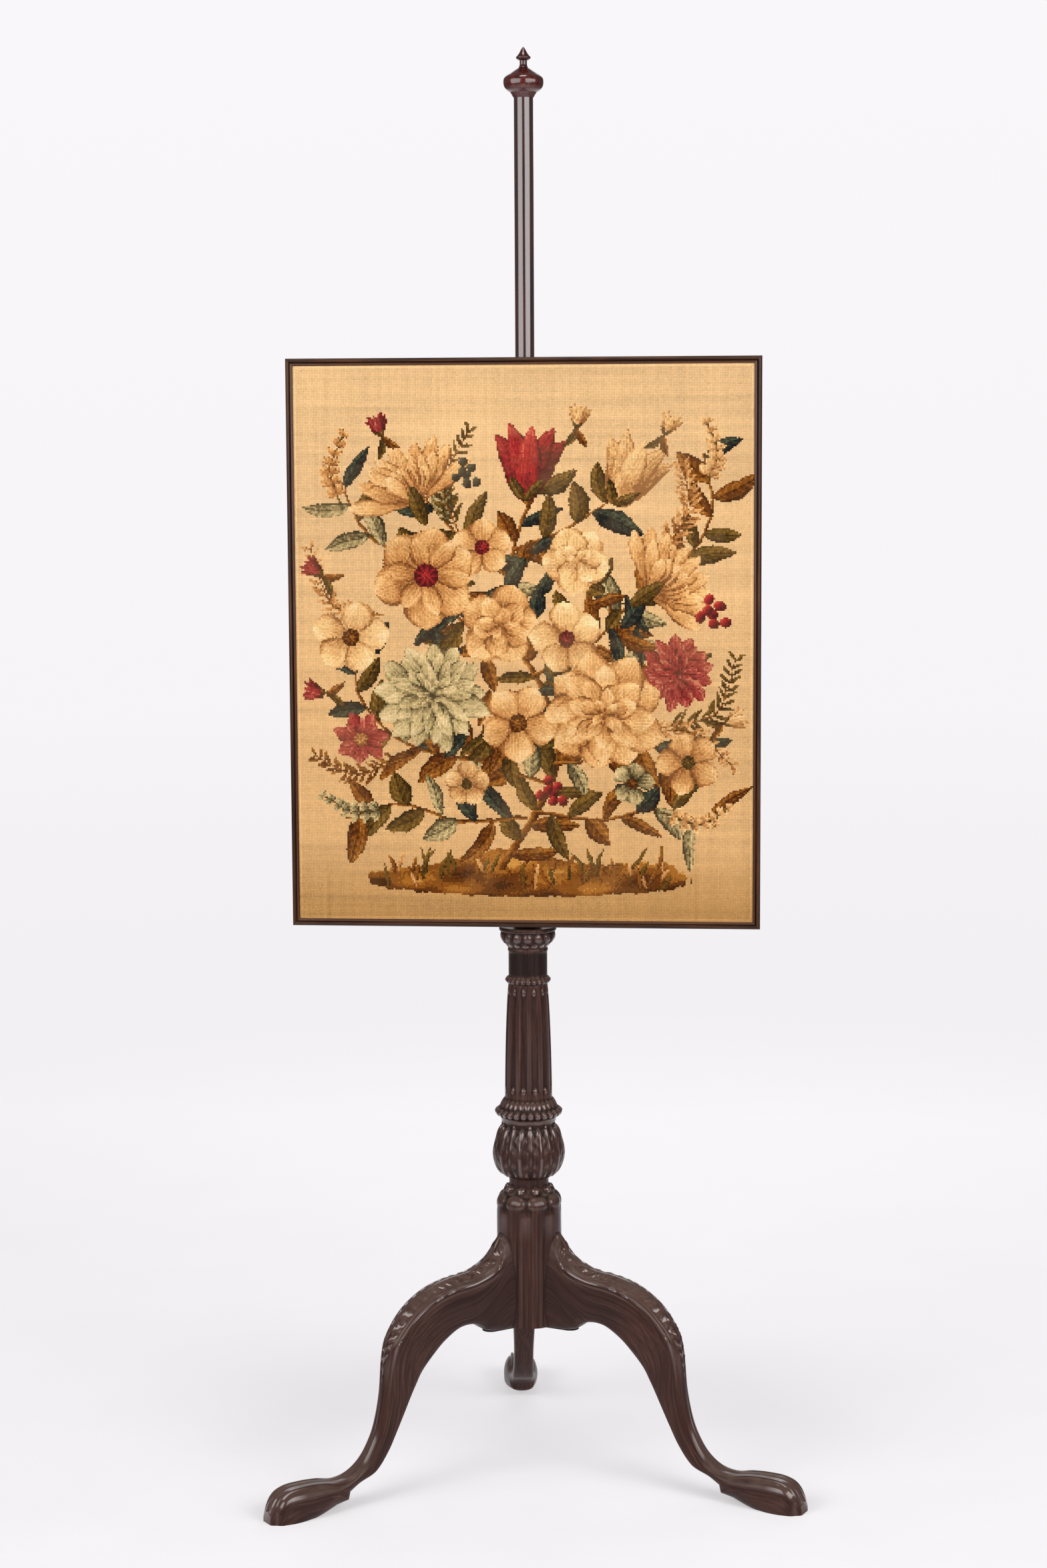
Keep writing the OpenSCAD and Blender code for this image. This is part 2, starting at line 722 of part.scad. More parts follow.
// Edge mouldings, mitred at the corners; the section runs from the sight edge outwards
bead_r = 1.6;
nose_r = 3.4;
moulding_section = concat(
    [[0, moulding_t], [0, 2 * bead_r]],
    arc([bead_r, bead_r + 0.6], bead_r, 180, 360, 8),
    arc([moulding_w - nose_r, nose_r], nose_r, -90, 0, 8),
    [[moulding_w, moulding_t]]);

module moulding(len) {
    half_len = len / 2;
    difference() {
        translate([-half_len, 0, 0])
            rotate([90, 0, 90])
                linear_extrude(len)
                    polygon([for (p = moulding_section) [p[1], p[0]]]);
        for (side = [-1, 1])
            translate([side * (half_len - moulding_w), -1, 0])
                rotate([0, side * 45, 0])
                    translate([side > 0 ? 0 : -2 * moulding_w, 0, -2 * moulding_w])
                        cube([2 * moulding_w, moulding_t + 2, 4 * moulding_w]);
    }
}

module placed_moulding(turn, len, out) {
    color(mahogany)
        translate([0, screen_front, (screen_low + screen_top) / 2])
            rotate([0, turn, 0])
                translate([0, 0, out - moulding_w])
                    moulding(len);
}

module moulding_top() { placed_moulding(0, screen_w, screen_h / 2); }
module moulding_right() { placed_moulding(90, screen_h, screen_w / 2); }
module moulding_bottom() { placed_moulding(180, screen_w, screen_h / 2); }
module moulding_left() { placed_moulding(270, screen_h, screen_w / 2); }

// Worked canvas over the strainer's face and a plain cloth over its back
module cover(front, t) {
    translate([-inner_w / 2, front, screen_low + moulding_w])
        cube([inner_w, t, inner_h]);
}

module needlework() {
    color([0.82, 0.65, 0.40])
        cover(strainer_front - canvas_t, canvas_t);
}

module back_cloth() {
    color([0.45, 0.36, 0.26])
        difference() {
            cover(strainer_back, cloth_t);
            all_plate_screw_places()
                screw_hole(plate_screw_len);
        }
}

column();
pole();
finial();
leg_back();
leg_front_left();
leg_front_right();
tripod_iron();
tripod_iron_screws();
upper_ring_liner();
lower_ring_liner();
strainer_top_rail();
strainer_bottom_rail();
strainer_left_stile();
strainer_right_stile();
moulding_top();
moulding_bottom();
moulding_left();
moulding_right();
needlework();
back_cloth();
upper_ring_bracket();
lower_ring_bracket();
bracket_screws();
clamp_pad();
thumbscrew();
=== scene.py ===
"""The looks of a pole screen: a carved mahogany tripod with a needlework panel that slides on its pole."""

from math import asin, ceil, cos, hypot, pi, radians, sin, sqrt, tan

import bpy
import numpy as np
from mathutils import Matrix, Vector


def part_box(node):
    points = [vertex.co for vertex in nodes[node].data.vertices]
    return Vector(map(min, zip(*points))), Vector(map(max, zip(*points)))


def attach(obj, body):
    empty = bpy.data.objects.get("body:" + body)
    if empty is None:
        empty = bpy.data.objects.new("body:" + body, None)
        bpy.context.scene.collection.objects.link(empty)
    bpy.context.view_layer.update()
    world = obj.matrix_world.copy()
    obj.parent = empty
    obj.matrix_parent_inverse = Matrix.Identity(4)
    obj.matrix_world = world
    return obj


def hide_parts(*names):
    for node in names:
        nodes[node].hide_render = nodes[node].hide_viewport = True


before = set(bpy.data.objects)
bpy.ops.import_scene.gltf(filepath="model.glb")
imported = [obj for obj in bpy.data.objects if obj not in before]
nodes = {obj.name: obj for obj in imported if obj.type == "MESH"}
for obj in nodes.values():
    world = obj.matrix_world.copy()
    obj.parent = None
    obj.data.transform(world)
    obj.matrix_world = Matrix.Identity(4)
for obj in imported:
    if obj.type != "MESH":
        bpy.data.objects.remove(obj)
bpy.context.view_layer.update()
scene = bpy.context.scene
MM = 0.001
chance = np.random.default_rng(11)
some = chance.uniform

# The camera's turn about the pole, and its side of the stand
CAMERA_TURN = radians(4.9)
TO_CAMERA = CAMERA_TURN - pi / 2


def seen_at(degrees):
    """The angle about the pole of a place so many degrees to the right of the camera's side."""
    return TO_CAMERA + radians(degrees)


def level(node, end, axis=2):
    """One side of a CAD node's box, in millimetres."""
    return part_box(node)[end][axis] / MM


# Shared arithmetic for outlines and reliefs


def bend(start, pull, end, count=8):
    """Points of a curved run from start to end, drawn towards pull, without the first."""
    t = np.linspace(0, 1, count + 1)[1:, None]
    a, b, c = (np.array(p, float) for p in (start, pull, end))
    return ((1 - t) ** 2 * a + 2 * t * (1 - t) * b + t * t * c).tolist()


ROUND_STEPS = 10


def swelling(radius, low, high, out):
    """A half-round run standing out from a straight side."""
    steps = range(ROUND_STEPS + 1)
    return [[radius + out * sin(pi * i / ROUND_STEPS), low + (high - low) * i / ROUND_STEPS] for i in steps]


def smooth(low, high, value):
    """0 below low, 1 above high, and an easy change between."""
    t = np.clip((value - low) / (high - low), 0, 1)
    return t * t * (3 - 2 * t)


def within(value, low, low_full, high_full, high):
    """1 between the two inner limits, easing to 0 at the outer ones."""
    return smooth(low, low_full, value) * smooth(high, high_full, value)


def hump(value, half):
    """A rounded peak of 1 where value is 0."""
    return np.exp(-((value / half) ** 2))


def dome(across, along):
    """A rounded boss, from its two distances as shares of its half sizes."""
    return np.sqrt(np.maximum(0, 1 - across**2 - along**2))


def unit(ways):
    """Directions with a length of one."""
    return ways / np.maximum(np.linalg.norm(ways, axis=-1, keepdims=True), 1e-9)


def run_length(points):
    """How far along a run each of its points lies."""
    return np.concatenate([[0], np.cumsum(np.linalg.norm(np.diff(points, axis=0), axis=1))])


def soften(field, rows, cols):
    """The mean of a field round each of its points, on a grid that closes on itself across."""
    total = sum(np.roll(field, k, axis=1) for k in range(-cols, cols + 1)) / (2 * cols + 1)
    padded = np.pad(total, ((rows, rows), (0, 0)), mode="edge")
    return sum(padded[k : k + len(field)] for k in range(2 * rows + 1)) / (2 * rows + 1)


def wander(shape, waves, size):
    """A soft unevenness of a hand-worked surface that closes on itself across."""
    up = np.linspace(0, 1, shape[0])[:, None]
    turn = np.linspace(0, 2 * pi, shape[1], endpoint=False)[None, :]
    total = np.zeros(shape)
    for _ in range(waves):
        total += np.sin(chance.integers(1, 9) * turn + some(4, 60) * up + some(0, 7))
    return size * total / sqrt(waves)


def nearest(angle, count, phase):
    """Angle from the nearest of a number of places spaced evenly round a turn."""
    step = 2 * pi / count
    return (angle - phase + step / 2) % step - step / 2


def glide(points, steps, closed=False):
    """A smooth run through points, with a number of steps to each span."""
    points = np.asarray(points, float)
    if closed:
        around = np.vstack([points[-1:], points, points[:2]])
    else:
        around = np.vstack([2 * points[0] - points[1], points, 2 * points[-1] - points[-2]])
    p0, p1, p2, p3 = (around[k : len(around) - 3 + k][:, None, :] for k in range(4))
    t = (np.arange(steps) / steps)[None, :, None]
    square, cube = 2 * p0 - 5 * p1 + 4 * p2 - p3, 3 * p1 - p0 - 3 * p2 + p3
    run = (0.5 * (2 * p1 + (p2 - p0) * t + square * t**2 + cube * t**3)).reshape(-1, points.shape[1])
    return run if closed else np.vstack([run, points[-1:]])


# Meshes


def add_object(name, data):
    """A new object in the scene."""
    made = bpy.data.objects.new(name, data)
    scene.collection.objects.link(made)
    return made


def put_mesh(name, points, faces, material, body, node, slot_name, sharp=50, **fields):
    """A mesh object from points in millimetres, with its fields, body, replaced node and material; slot_name is
    not used.
    """
    points = np.reshape(points, (-1, 3))
    mesh = bpy.data.meshes.new(name)
    mesh.from_pydata((points * MM).tolist(), [], faces)
    for field, values in fields.items():
        kind, key = ("FLOAT", "value") if np.size(values) == len(points) else ("FLOAT_VECTOR", "vector")
        store = mesh.attributes.new(field, kind, "POINT")
        store.data.foreach_set(key, np.ravel(values).astype(np.float32))
    mesh.shade_smooth()
    mesh.set_sharp_from_angle(angle=radians(sharp))
    mesh.materials.append(material)
    piece = add_object(name, mesh)
    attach(piece, body)
    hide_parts(node)
    return piece


def tube_faces(rows, cols):
    """The faces of rows of points round a tube, closed at both ends."""
    index = np.arange(rows * cols).reshape(rows, cols)
    right = np.roll(index, -1, axis=1)
    quads = np.stack([index[:-1], right[:-1], right[1:], index[1:]], axis=-1).reshape(-1, 4)
    return quads.tolist() + [index[0, ::-1].tolist(), index[-1].tolist()]


def closer_rows(outline, spacing):
    """An outline with more points, as far apart as spacing(z) says, and the outward directions there."""
    rows = []
    for (r0, z0), (r1, z1) in zip(outline, outline[1:]):
        count = max(1, ceil(hypot(r1 - r0, z1 - z0) / spacing((z0 + z1) / 2)))
        rows += [[r0 + (r1 - r0) * k / count, z0 + (z1 - z0) * k / count] for k in range(count)]
    rows = np.array(rows + [outline[-1]])
    steps = unit(np.diff(rows, axis=0))
    runs = unit(np.vstack([steps[:1], steps[:-1] + steps[1:], steps[-1:]]))
    return rows, np.stack([runs[:, 1], -runs[:, 0]], axis=1)


def wear_of(relief, rows, cols, depth):
    """How high each place of a carving stands over its surroundings: 0 in a hollow, 1 on a crest."""
    return np.clip(0.5 + (relief - soften(relief, rows, cols)) / depth, 0, 1)


WEAR_ROWS, WEAR_COLS = 5, 6


def lathe(name, outline, cols, spacing, relief, wear_depth, lit_share=np.ones_like, **given):
    """A turned piece carved by relief(angle, z, radius) in millimetres, darkened with painted shade where its
    shading function of z is low.
    """
    rows, out = closer_rows(outline, spacing)
    turn = np.linspace(0, 2 * pi, cols, endpoint=False)[None, :]
    radius, z = rows[:, :1], rows[:, 1:]
    height = relief(turn, z, radius)
    r = radius + height * out[:, :1]
    grid = np.stack([r * np.cos(turn), r * np.sin(turn), z + height * out[:, 1:]], axis=-1)
    # The carving field, lowered where the piece is to get painted shade.
    worn = wear_of(height, WEAR_ROWS, WEAR_COLS, wear_depth) * lit_share(z)
    put_mesh(name, grid, tube_faces(len(rows), cols), body="stand", grain=grid * MM, worn=worn, **given)


# Materials


def tone(red, green, blue):
    """A colour as written for a screen, as the linear values that shaders take."""
    share = [c / 255 for c in (red, green, blue)]
    return tuple(c / 12.92 if c <= 0.04045 else ((c + 0.055) / 1.055) ** 2.4 for c in share) + (1.0,)


class Look:
    """A material and short ways to add to its nodes. Colours are given as written for a screen."""

    def __init__(self, name):
        self.material = bpy.data.materials.new(name)
        self.material.use_nodes = True
        self.tree = self.material.node_tree
        self.shader = self.tree.nodes["Principled BSDF"]

    def put(self, socket, value):
        """Links or sets a socket; None leaves it as it is."""
        if isinstance(value, bpy.types.NodeSocket):
            self.tree.links.new(value, socket)
        elif value is not None:
            socket.default_value = tone(*value) if socket.type == "RGBA" else value

    def set(self, node=None, **inputs):
        """Sets inputs by name, on the shader if no node is given."""
        for key, value in inputs.items():
            self.put((node or self.shader).inputs[key.replace("_", " ")], value)

    def add(self, kind, settings=(), *ordered, **inputs):
        """The outputs of a new node with these settings, inputs in order and inputs by name."""
        made = self.tree.nodes.new("ShaderNode" + kind)
        for key, value in dict(settings).items():
            setattr(made, key, value)
        for socket, value in zip(made.inputs, ordered):
            self.put(socket, value)
        self.set(made, **inputs)
        return made.outputs

    def field(self, name, output="Vector"):
        return self.add("Attribute", {"attribute_name": name})[output]

    def place(self):
        return self.add("TexCoord")["Object"]

    def xyz(self, vector):
        return self.add("SeparateXYZ", (), vector)

    def scaled(self, vector, factors):
        return self.add("VectorMath", {"operation": "MULTIPLY"}, vector, factors)[0]

    def noise(self, vector, scale, detail=3.0, roughness=0.55, distortion=0.0):
        """Noise of one scale, or of three along the axes."""
        if isinstance(scale, tuple):
            vector, scale = self.scaled(vector, scale), 1.0
        inputs = {"Scale": scale, "Detail": detail, "Roughness": roughness, "Distortion": distortion}
        return self.add("TexNoise", (), vector, **inputs)["Fac"]

    def math(self, operation, *values):
        return self.add("Math", {"operation": operation}, *values)[0]

    def times(self, first, second):
        return self.math("MULTIPLY", first, second)

    def plus(self, first, second):
        return self.math("ADD", first, second)

    def ridges(self, value):
        """Rounded ridges, one to each half turn of a value."""
        return self.math("ABSOLUTE", self.math("SINE", value))

    def span(self, value, low, high, start=0, end=1):
        """A value's run from low to high as a run from start to end."""
        return self.add("MapRange", (), value, low, high, start, end)[0]

    def mix(self, share, first, second, blend="MIX"):
        settings = {"data_type": "RGBA", "blend_type": blend}
        return self.add("Mix", settings, share, *[None] * 5, first, second)[2]

    def layered(self, colour, *layers):
        """A colour under others, each laid on as a value runs from low to high, up to a share."""
        for value, low, high, most, over in layers:
            colour = self.mix(self.span(value, low, high, 0, most), colour, over)
        return colour

    def bump(self, height, strength, distance, under=None):
        return self.add("Bump", (), Height=height, Strength=strength, Distance=distance, Normal=under)[0]


# The third colour is painted shade for the hollows; the second is dust that also stands for painted light from
# above.
PORE, DUST_AND_TOP_LIGHT, PAINTED_SHADE, WARM_SHINE = (22, 11, 9), (138, 119, 106), (12, 7, 6), (255, 236, 230)


def mahogany(
    name, dark, mid, light, gloss, dull, coat, crest, top_dust_and_light=0.0, shine=0.3, coat_ior=1.9, pore_depth=0.05
):
    """Old polished mahogany: streaks and pores along the grain, painted shade in the hollows, crests lighter
    from wear and painted highlight, and dust that also stands for painted light on upward faces.
    """
    look = Look(name)
    grain, worn = look.field("grain"), look.field("worn", "Fac")
    figure = look.noise(grain, (55, 55, 5), 4.0, 0.6, 0.6)
    streak = look.noise(grain, (420, 420, 9), 3.0, 0.6)
    pores = look.noise(grain, (2300, 2300, 75), 2.0)
    mottle = look.noise(grain, (18, 18, 18))
    # Crests are made lighter: partly wear, partly painted highlight.
    colour = look.layered(
        dark, (figure, 0.2, 0.7, 1, mid), (streak, 0.42, 0.72, 0.75, light), (pores, 0.5, 0.68, 0.55, PORE),
        (mottle, 0.35, 0.7, 0.35, dark), (worn, 0.5, 1.0, 0.6, light),
    )
    # Dust on upward faces, less on polished crests; it also stands for painted light from above.
    facing = look.xyz(look.add("NewGeometry")["Normal"])["Z"]
    top_dust_and_light_share = look.span(look.noise(grain, (110, 110, 60)), 0.3, 0.7, 0.35, 1.5)
    top_dust_and_light_share = look.times(top_dust_and_light_share, look.span(worn, 0.6, 0.9, 1, 0.25))
    top_dust_and_light_share = look.times(top_dust_and_light_share, look.span(facing, 0.25, 0.95, 0, top_dust_and_light))
    colour = look.mix(top_dust_and_light_share, colour, DUST_AND_TOP_LIGHT)
    # Painted shade, near black, where the carving's field is low: in hollows and in darkened zones.
    colour = look.mix(look.span(worn, 0.02, 0.48, 0.85, 0), colour, PAINTED_SHADE)
    rough = look.plus(look.span(streak, 0.3, 0.7, 0, 0.08), look.span(worn, 0.45, 0.8, dull, gloss))
    rough = look.plus(rough, look.span(mottle, 0.3, 0.7, -0.03, 0.06))
    relief = look.bump(figure, 0.25, 0.35 * MM, look.bump(pores, 0.35, pore_depth * MM))
    look.set(Base_Color=colour, Roughness=rough, Normal=relief)
    look.set(Specular_IOR_Level=shine, Specular_Tint=WARM_SHINE, Coat_IOR=coat_ior)
    look.set(Coat_Weight=look.span(worn, 0.52, 0.8, coat, crest), Coat_Roughness=gloss * 0.8)
    return look.material


def metal(name, colour, deep, roughness, wear_scale):
    """A used metal: toned patches, fine scratches and a little pitting."""
    look = Look(name)
    place = look.place()
    patches = look.noise(place, wear_scale, 5.0, 0.65)
    scratches = look.noise(place, (900, 900, 90))
    pits = look.noise(place, wear_scale * 14, 2.0)
    relief = look.bump(scratches, 0.12, 0.1 * MM, look.bump(pits, 0.15, 0.15 * MM))
    look.set(Base_Color=look.layered(colour, (patches, 0.4, 0.7, 0.8, deep)), Metallic=1.0, Normal=relief)
    look.set(Roughness=look.span(patches, 0.35, 0.7, roughness, roughness + 0.2))
    return look.material


def leather(name):
    """Worn leather, creased in small cells."""
    look = Look(name)
    place = look.place()
    creases = look.add("TexVoronoi", {"feature": "DISTANCE_TO_EDGE"}, place, Scale=900.0)["Distance"]
    patches = look.noise(place, 90.0, 4.0)
    look.set(Base_Color=look.layered((72, 42, 24), (patches, 0.35, 0.7, 1, (36, 20, 12))))
    look.set(Normal=look.bump(look.span(creases, 0, 0.12), 0.4, 0.2 * MM))
    look.set(Roughness=look.span(patches, 0.3, 0.7, 0.5, 0.7))
    return look.material


def pine(name):
    """Planed pine with soft rings and fine fibres."""
    look = Look(name)
    place = look.place()
    rings = look.noise(place, (160, 160, 9), 3.0, 0.5, 0.4)
    fibre = look.noise(place, (1300, 1300, 40), 2.0)
    shade = look.layered(
        (198, 160, 108), (rings, 0.35, 0.65, 1, (160, 116, 68)), (fibre, 0.45, 0.7, 0.4, (120, 84, 48))
    )
    look.set(Base_Color=shade, Normal=look.bump(fibre, 0.3, 0.2 * MM))
    look.set(Roughness=look.span(fibre, 0.3, 0.7, 0.6, 0.75))
    return look.material


LINEN_PITCH = 0.9 * MM


def linen(name):
    """Aged plain-woven cloth with slubs, its threads over and under each other."""
    look = Look(name)
    place = look.place()
    u, _, v = look.xyz(look.scaled(place, (pi / LINEN_PITCH,) * 3))
    over = look.times(look.math("COSINE", u), look.math("COSINE", v))
    weave = look.plus(look.times(look.ridges(u), look.ridges(v)), look.times(over, 0.25))
    slubs, runs = look.noise(place, (30, 30, 700)), look.noise(place, (700, 30, 30))
    shade = look.layered(
        (196, 176, 138), (look.noise(place, 5.0, 4.0), 0.35, 0.7, 1, (168, 142, 100)),
        (slubs, 0.5, 0.75, 0.45, (216, 200, 168)), (runs, 0.52, 0.75, 0.35, (142, 118, 82)),
    )
    look.set(Base_Color=shade, Roughness=0.85, Sheen_Weight=0.2, Normal=look.bump(weave, 0.5, 0.25 * MM))
    return look.material


CARVED = mahogany(
    "carved_mahogany", (33, 17, 15), (61, 33, 28), (98, 66, 56),
    gloss=0.14, dull=0.34, coat=0.0, crest=1.0, top_dust_and_light=0.27, coat_ior=1.8, pore_depth=0.1,
)
POLISHED = mahogany(
    "polished_mahogany", (26, 10, 8), (52, 19, 16), (96, 42, 35),
    gloss=0.12, dull=0.15, coat=1.0, crest=0.55, coat_ior=1.95,
)
FINIAL_WOOD = mahogany(
    "finial_mahogany", (28, 9, 7), (72, 22, 17), (126, 46, 36), gloss=0.12, dull=0.15, coat=0.65, crest=0.65
)
FRAMING = mahogany(
    "frame_mahogany", (26, 13, 9), (58, 32, 19), (112, 70, 42),
    gloss=0.2, dull=0.32, coat=0.0, crest=0.4, top_dust_and_light=0.1, shine=0.35, coat_ior=1.6, pore_depth=0.1,
)
BRASS = metal("aged_brass", (196, 152, 84), (120, 84, 44), 0.24, 120.0)
IRON = metal("wrought_iron", (58, 54, 52), (40, 30, 26), 0.5, 80.0)
LEATHER = leather("liner_leather")
PINE = pine("strainer_pine")
LINEN = linen("back_linen")

# Column: heights and widths of its turning

PILLAR_LOW, CAP_TOP = level("column", 0), level("column", 1)
BLOCK_R, BLOCK_TOP, DOME_H = 35.5, PILLAR_LOW + 131, 21
WAIST_R, WAIST_Z = 21.5, BLOCK_TOP + DOME_H
VASE_Z = WAIST_Z + 11
BELLY_R, BELLY_Z = 38.8, VASE_Z + 27
VASE_NECK_R, VASE_TOP = 29.5, BELLY_Z + 37
COLLAR_R, COLLAR_TOP = 36.2, VASE_TOP + 27
LIP_Z = VASE_TOP + 10.8
SHAFT_LOW_R, SHAFT_SWELL_R, SHAFT_TOP_R, SHAFT_TOP = 25.9, 25.0, 21.5, COLLAR_TOP + 124
RING_R, RING_TOP = 24.5, SHAFT_TOP + 10
NECK_R, NECK_TOP = 21.2, RING_TOP + 29
OVOLO_R, OVOLO_Z = 29.7, NECK_TOP + 8.5
CAP_R, SLAB_Z = 31.3, CAP_TOP - 4.2
POLE_R, SOCKET_GAP, SOCKET_DEPTH = 10.25, 0.1, 130
TRIPOD_TURN, ROOT_TOP, ROOT_T = radians(7.2), PILLAR_LOW + 108, 40
FLUTES, FLUTE_HALF, FLUTE_DEEP, FLUTE_INSET = 12, 4.2, 1.5, 8.0
COLUMN_COLS, COLUMN_WEAR = 236, 2.2

column_outline = [
    [BLOCK_R, PILLAR_LOW],
    [BLOCK_R, BLOCK_TOP],
    *bend([BLOCK_R, BLOCK_TOP], [BLOCK_R, BLOCK_TOP + DOME_H * 0.62], [WAIST_R + 3.7, WAIST_Z - 3.5], 10),
    [WAIST_R, WAIST_Z],
    [WAIST_R, VASE_Z],
    *bend([WAIST_R + 0.7, VASE_Z], [BELLY_R - 1.5, VASE_Z + 4.6], [BELLY_R, BELLY_Z], 12),
    *bend([BELLY_R, BELLY_Z], [BELLY_R - 1, BELLY_Z + 14], [VASE_NECK_R, VASE_TOP - 7], 12),
    [VASE_NECK_R, VASE_TOP - 3],
    [VASE_NECK_R + 1, VASE_TOP + 3],
    *bend([VASE_NECK_R + 1.6, VASE_TOP + 3.6], [COLLAR_R - 1, VASE_TOP + 4.5], [COLLAR_R, LIP_Z]),
    *bend([COLLAR_R, LIP_Z], [SHAFT_LOW_R + 3, COLLAR_TOP - 9], [SHAFT_LOW_R + 0.4, COLLAR_TOP - 1]),
    [SHAFT_LOW_R, COLLAR_TOP],
    *bend([SHAFT_LOW_R, COLLAR_TOP], [SHAFT_SWELL_R, SHAFT_TOP - 40], [SHAFT_TOP_R, SHAFT_TOP], 12),
    *swelling(SHAFT_TOP_R, SHAFT_TOP + 1, RING_TOP - 1, RING_R - SHAFT_TOP_R),
    [NECK_R, RING_TOP],
    *swelling(NECK_R, NECK_TOP - 3, NECK_TOP + 2, 0.8),
    *bend([NECK_R + 0.3, NECK_TOP + 2.2], [NECK_R + 1, OVOLO_Z - 1], [OVOLO_R - 3.6, OVOLO_Z - 0.6]),
    *bend([OVOLO_R - 2.8, OVOLO_Z], [OVOLO_R, OVOLO_Z + 1.5], [OVOLO_R, OVOLO_Z + 7]),
    [OVOLO_R - 0.3, SLAB_Z - 0.6],
    [CAP_R - 0.5, SLAB_Z],
    [CAP_R, SLAB_Z + 0.6],
    [CAP_R, CAP_TOP - 0.9],
    [CAP_R - 0.9, CAP_TOP],
    [POLE_R + SOCKET_GAP, CAP_TOP],
    [POLE_R + SOCKET_GAP, CAP_TOP - SOCKET_DEPTH],
]


def leaf_row(across, z, foot, tip, half, lift):
    """Upright carved leaves with a midrib, veins, lobed edges and a tip that turns out: height and place."""
    t = (z - foot) / (tip - foot)
    reach = half * np.sin(pi * np.clip(0.2 + 0.8 * t, 0, 1)) ** 0.75 * (1 + 0.12 * np.cos(8 * pi * t))
    reach = np.where((t > 0) & (t < 1), reach, 1e-6)
    share = np.abs(across) / np.maximum(reach, 1e-6)
    inside = smooth(1.0, 0.8, share) * within(t, 0, 0.05, 0.95, 1.0)
    veins = 0.2 * np.cos(2 * pi * (t * 4.5 - 0.55 * share)) * smooth(0.15, 0.4, share)
    form = 0.8 + 0.2 * (1 - share**2) + veins + 0.55 * hump(across, 1.7) + 0.7 * hump(t - 0.86, 0.1)
    return lift * inside * form, inside


def column_relief(angle, z, radius):
    """The column's carving, zone by zone from the block up, in millimetres."""

    def places(count, degrees):
        """Distance from the nearest of a row of places, with one so many degrees from the camera's side."""
        return radius * nearest(angle, count, seen_at(degrees))

    def zone(low, high, relief, outside=0):
        return np.where((z > low) & (z < high), relief, outside)

    # Block: a fine line beside each leg
    beside = radius * np.abs(nearest(angle, 3, TRIPOD_TURN + pi / 2)) - BLOCK_R * asin(ROOT_T / 2 / BLOCK_R)
    height = np.where(z < ROOT_TOP, -0.8 * hump(beside - 0.6, 0.8), 0)
    # Dome: broad hanging lobes under a row of pearls
    lobe = dome(places(8, 17) / 12.6, (z - (BLOCK_TOP + 7.5)) / 9.5)
    height += zone(BLOCK_TOP - 4, WAIST_Z - 3, 2.6 * lobe - 1.3 * smooth(-4, 1, z - BLOCK_TOP))
    pearl = dome(places(9, 18) / 4.9, (z - (WAIST_Z - 1.2)) / 3.8)
    height = np.maximum(height, zone(WAIST_Z - 6, WAIST_Z + 3, 3.9 * pearl, -np.inf))
    # Vase: tall leaves with shorter ones between
    big, inside = leaf_row(places(10, -15), z, VASE_Z + 2, VASE_TOP - 4, 11.4, 1.5)
    small, _ = leaf_row(places(10, 3), z, VASE_Z + 12, VASE_TOP - 1, 7.5, 1.1)
    carved = np.maximum(big, small * (1 - inside)) - 1.1
    height += carved * within(z, VASE_Z, VASE_Z + 4, VASE_TOP - 4, VASE_TOP)
    # Collar: two rows of turned-over leaf tips
    low = dome(places(28, 16.6) / 4.1, (z - (LIP_Z - 1)) / 5.0)
    high = dome(places(28, 10.2) / 3.9, (z - (COLLAR_TOP - 7)) / 5.0)
    knobs = np.maximum(2.3 * low, 2.1 * high) - 1.2
    height += zone(VASE_TOP + 3.6, COLLAR_TOP, knobs * smooth(0, 3, COLLAR_TOP - z))
    # Shaft: flutes with rounded ends, each with a small tongue at its foot and head
    past = np.maximum(0, np.maximum(COLLAR_TOP + FLUTE_INSET - z, z - (SHAFT_TOP - 6)))
    half = FLUTE_HALF * radius / SHAFT_LOW_R
    across = radius * nearest(angle, FLUTES, TRIPOD_TURN + pi / FLUTES)
    foot = dome(across / 3.0, (z - (COLLAR_TOP + FLUTE_INSET)) / 4.0)
    head = dome(across / 2.8, (z - (SHAFT_TOP - 7)) / 4.5)
    flute = FLUTE_DEEP * dome(across / half, past / half)
    height -= zone(COLLAR_TOP, SHAFT_TOP, flute - 2.1 * (foot + head))
    # Ring, lightly notched
    bead = dome(places(24, 16) / 3.0, (z - (SHAFT_TOP + RING_TOP) / 2) / 5.0)
    height += zone(SHAFT_TOP + 0.5, RING_TOP - 0.5, 1.1 * bead - 0.6)
    # Cap: pearls under eggs
    bead = dome(places(15, 18) / 3.8, (z - (OVOLO_Z - 2.8)) / 2.8)
    height += zone(NECK_TOP + 3, OVOLO_Z, 1.7 * bead)
    egg = dome(places(15, 24) / 5.2, (z - (OVOLO_Z + 5.5)) / 6.4)
    height += zone(OVOLO_Z, SLAB_Z - 0.5, 1.7 * egg - 1.1)
    height += zone(BLOCK_TOP, SLAB_Z, wander(height.shape, 14, 0.1))
    # The socket inside stays plain
    return np.where(np.arange(len(z))[:, None] < np.argmax(z), height, 0)


def column_spacing(z):
    """Closer rows where the column is carved."""
    if z < BLOCK_TOP - 8:
        return 6.0
    if COLLAR_TOP + 14 < z < SHAFT_TOP - 12:
        return 4.0
    if RING_TOP < z < NECK_TOP - 3:
        return 3.0
    return 1.15 if z < CAP_TOP - 1 else 5.0


def column_painted_shade(z):
    """Painted shade: the plain neck is made much darker than the carving, and the shaft a little darker and
    duller.
    """
    neck, shaft = (z > RING_TOP) & (z < NECK_TOP - 2), (z > COLLAR_TOP + 12) & (z < SHAFT_TOP - 12)
    return 1 - 0.88 * neck - 0.06 * shaft


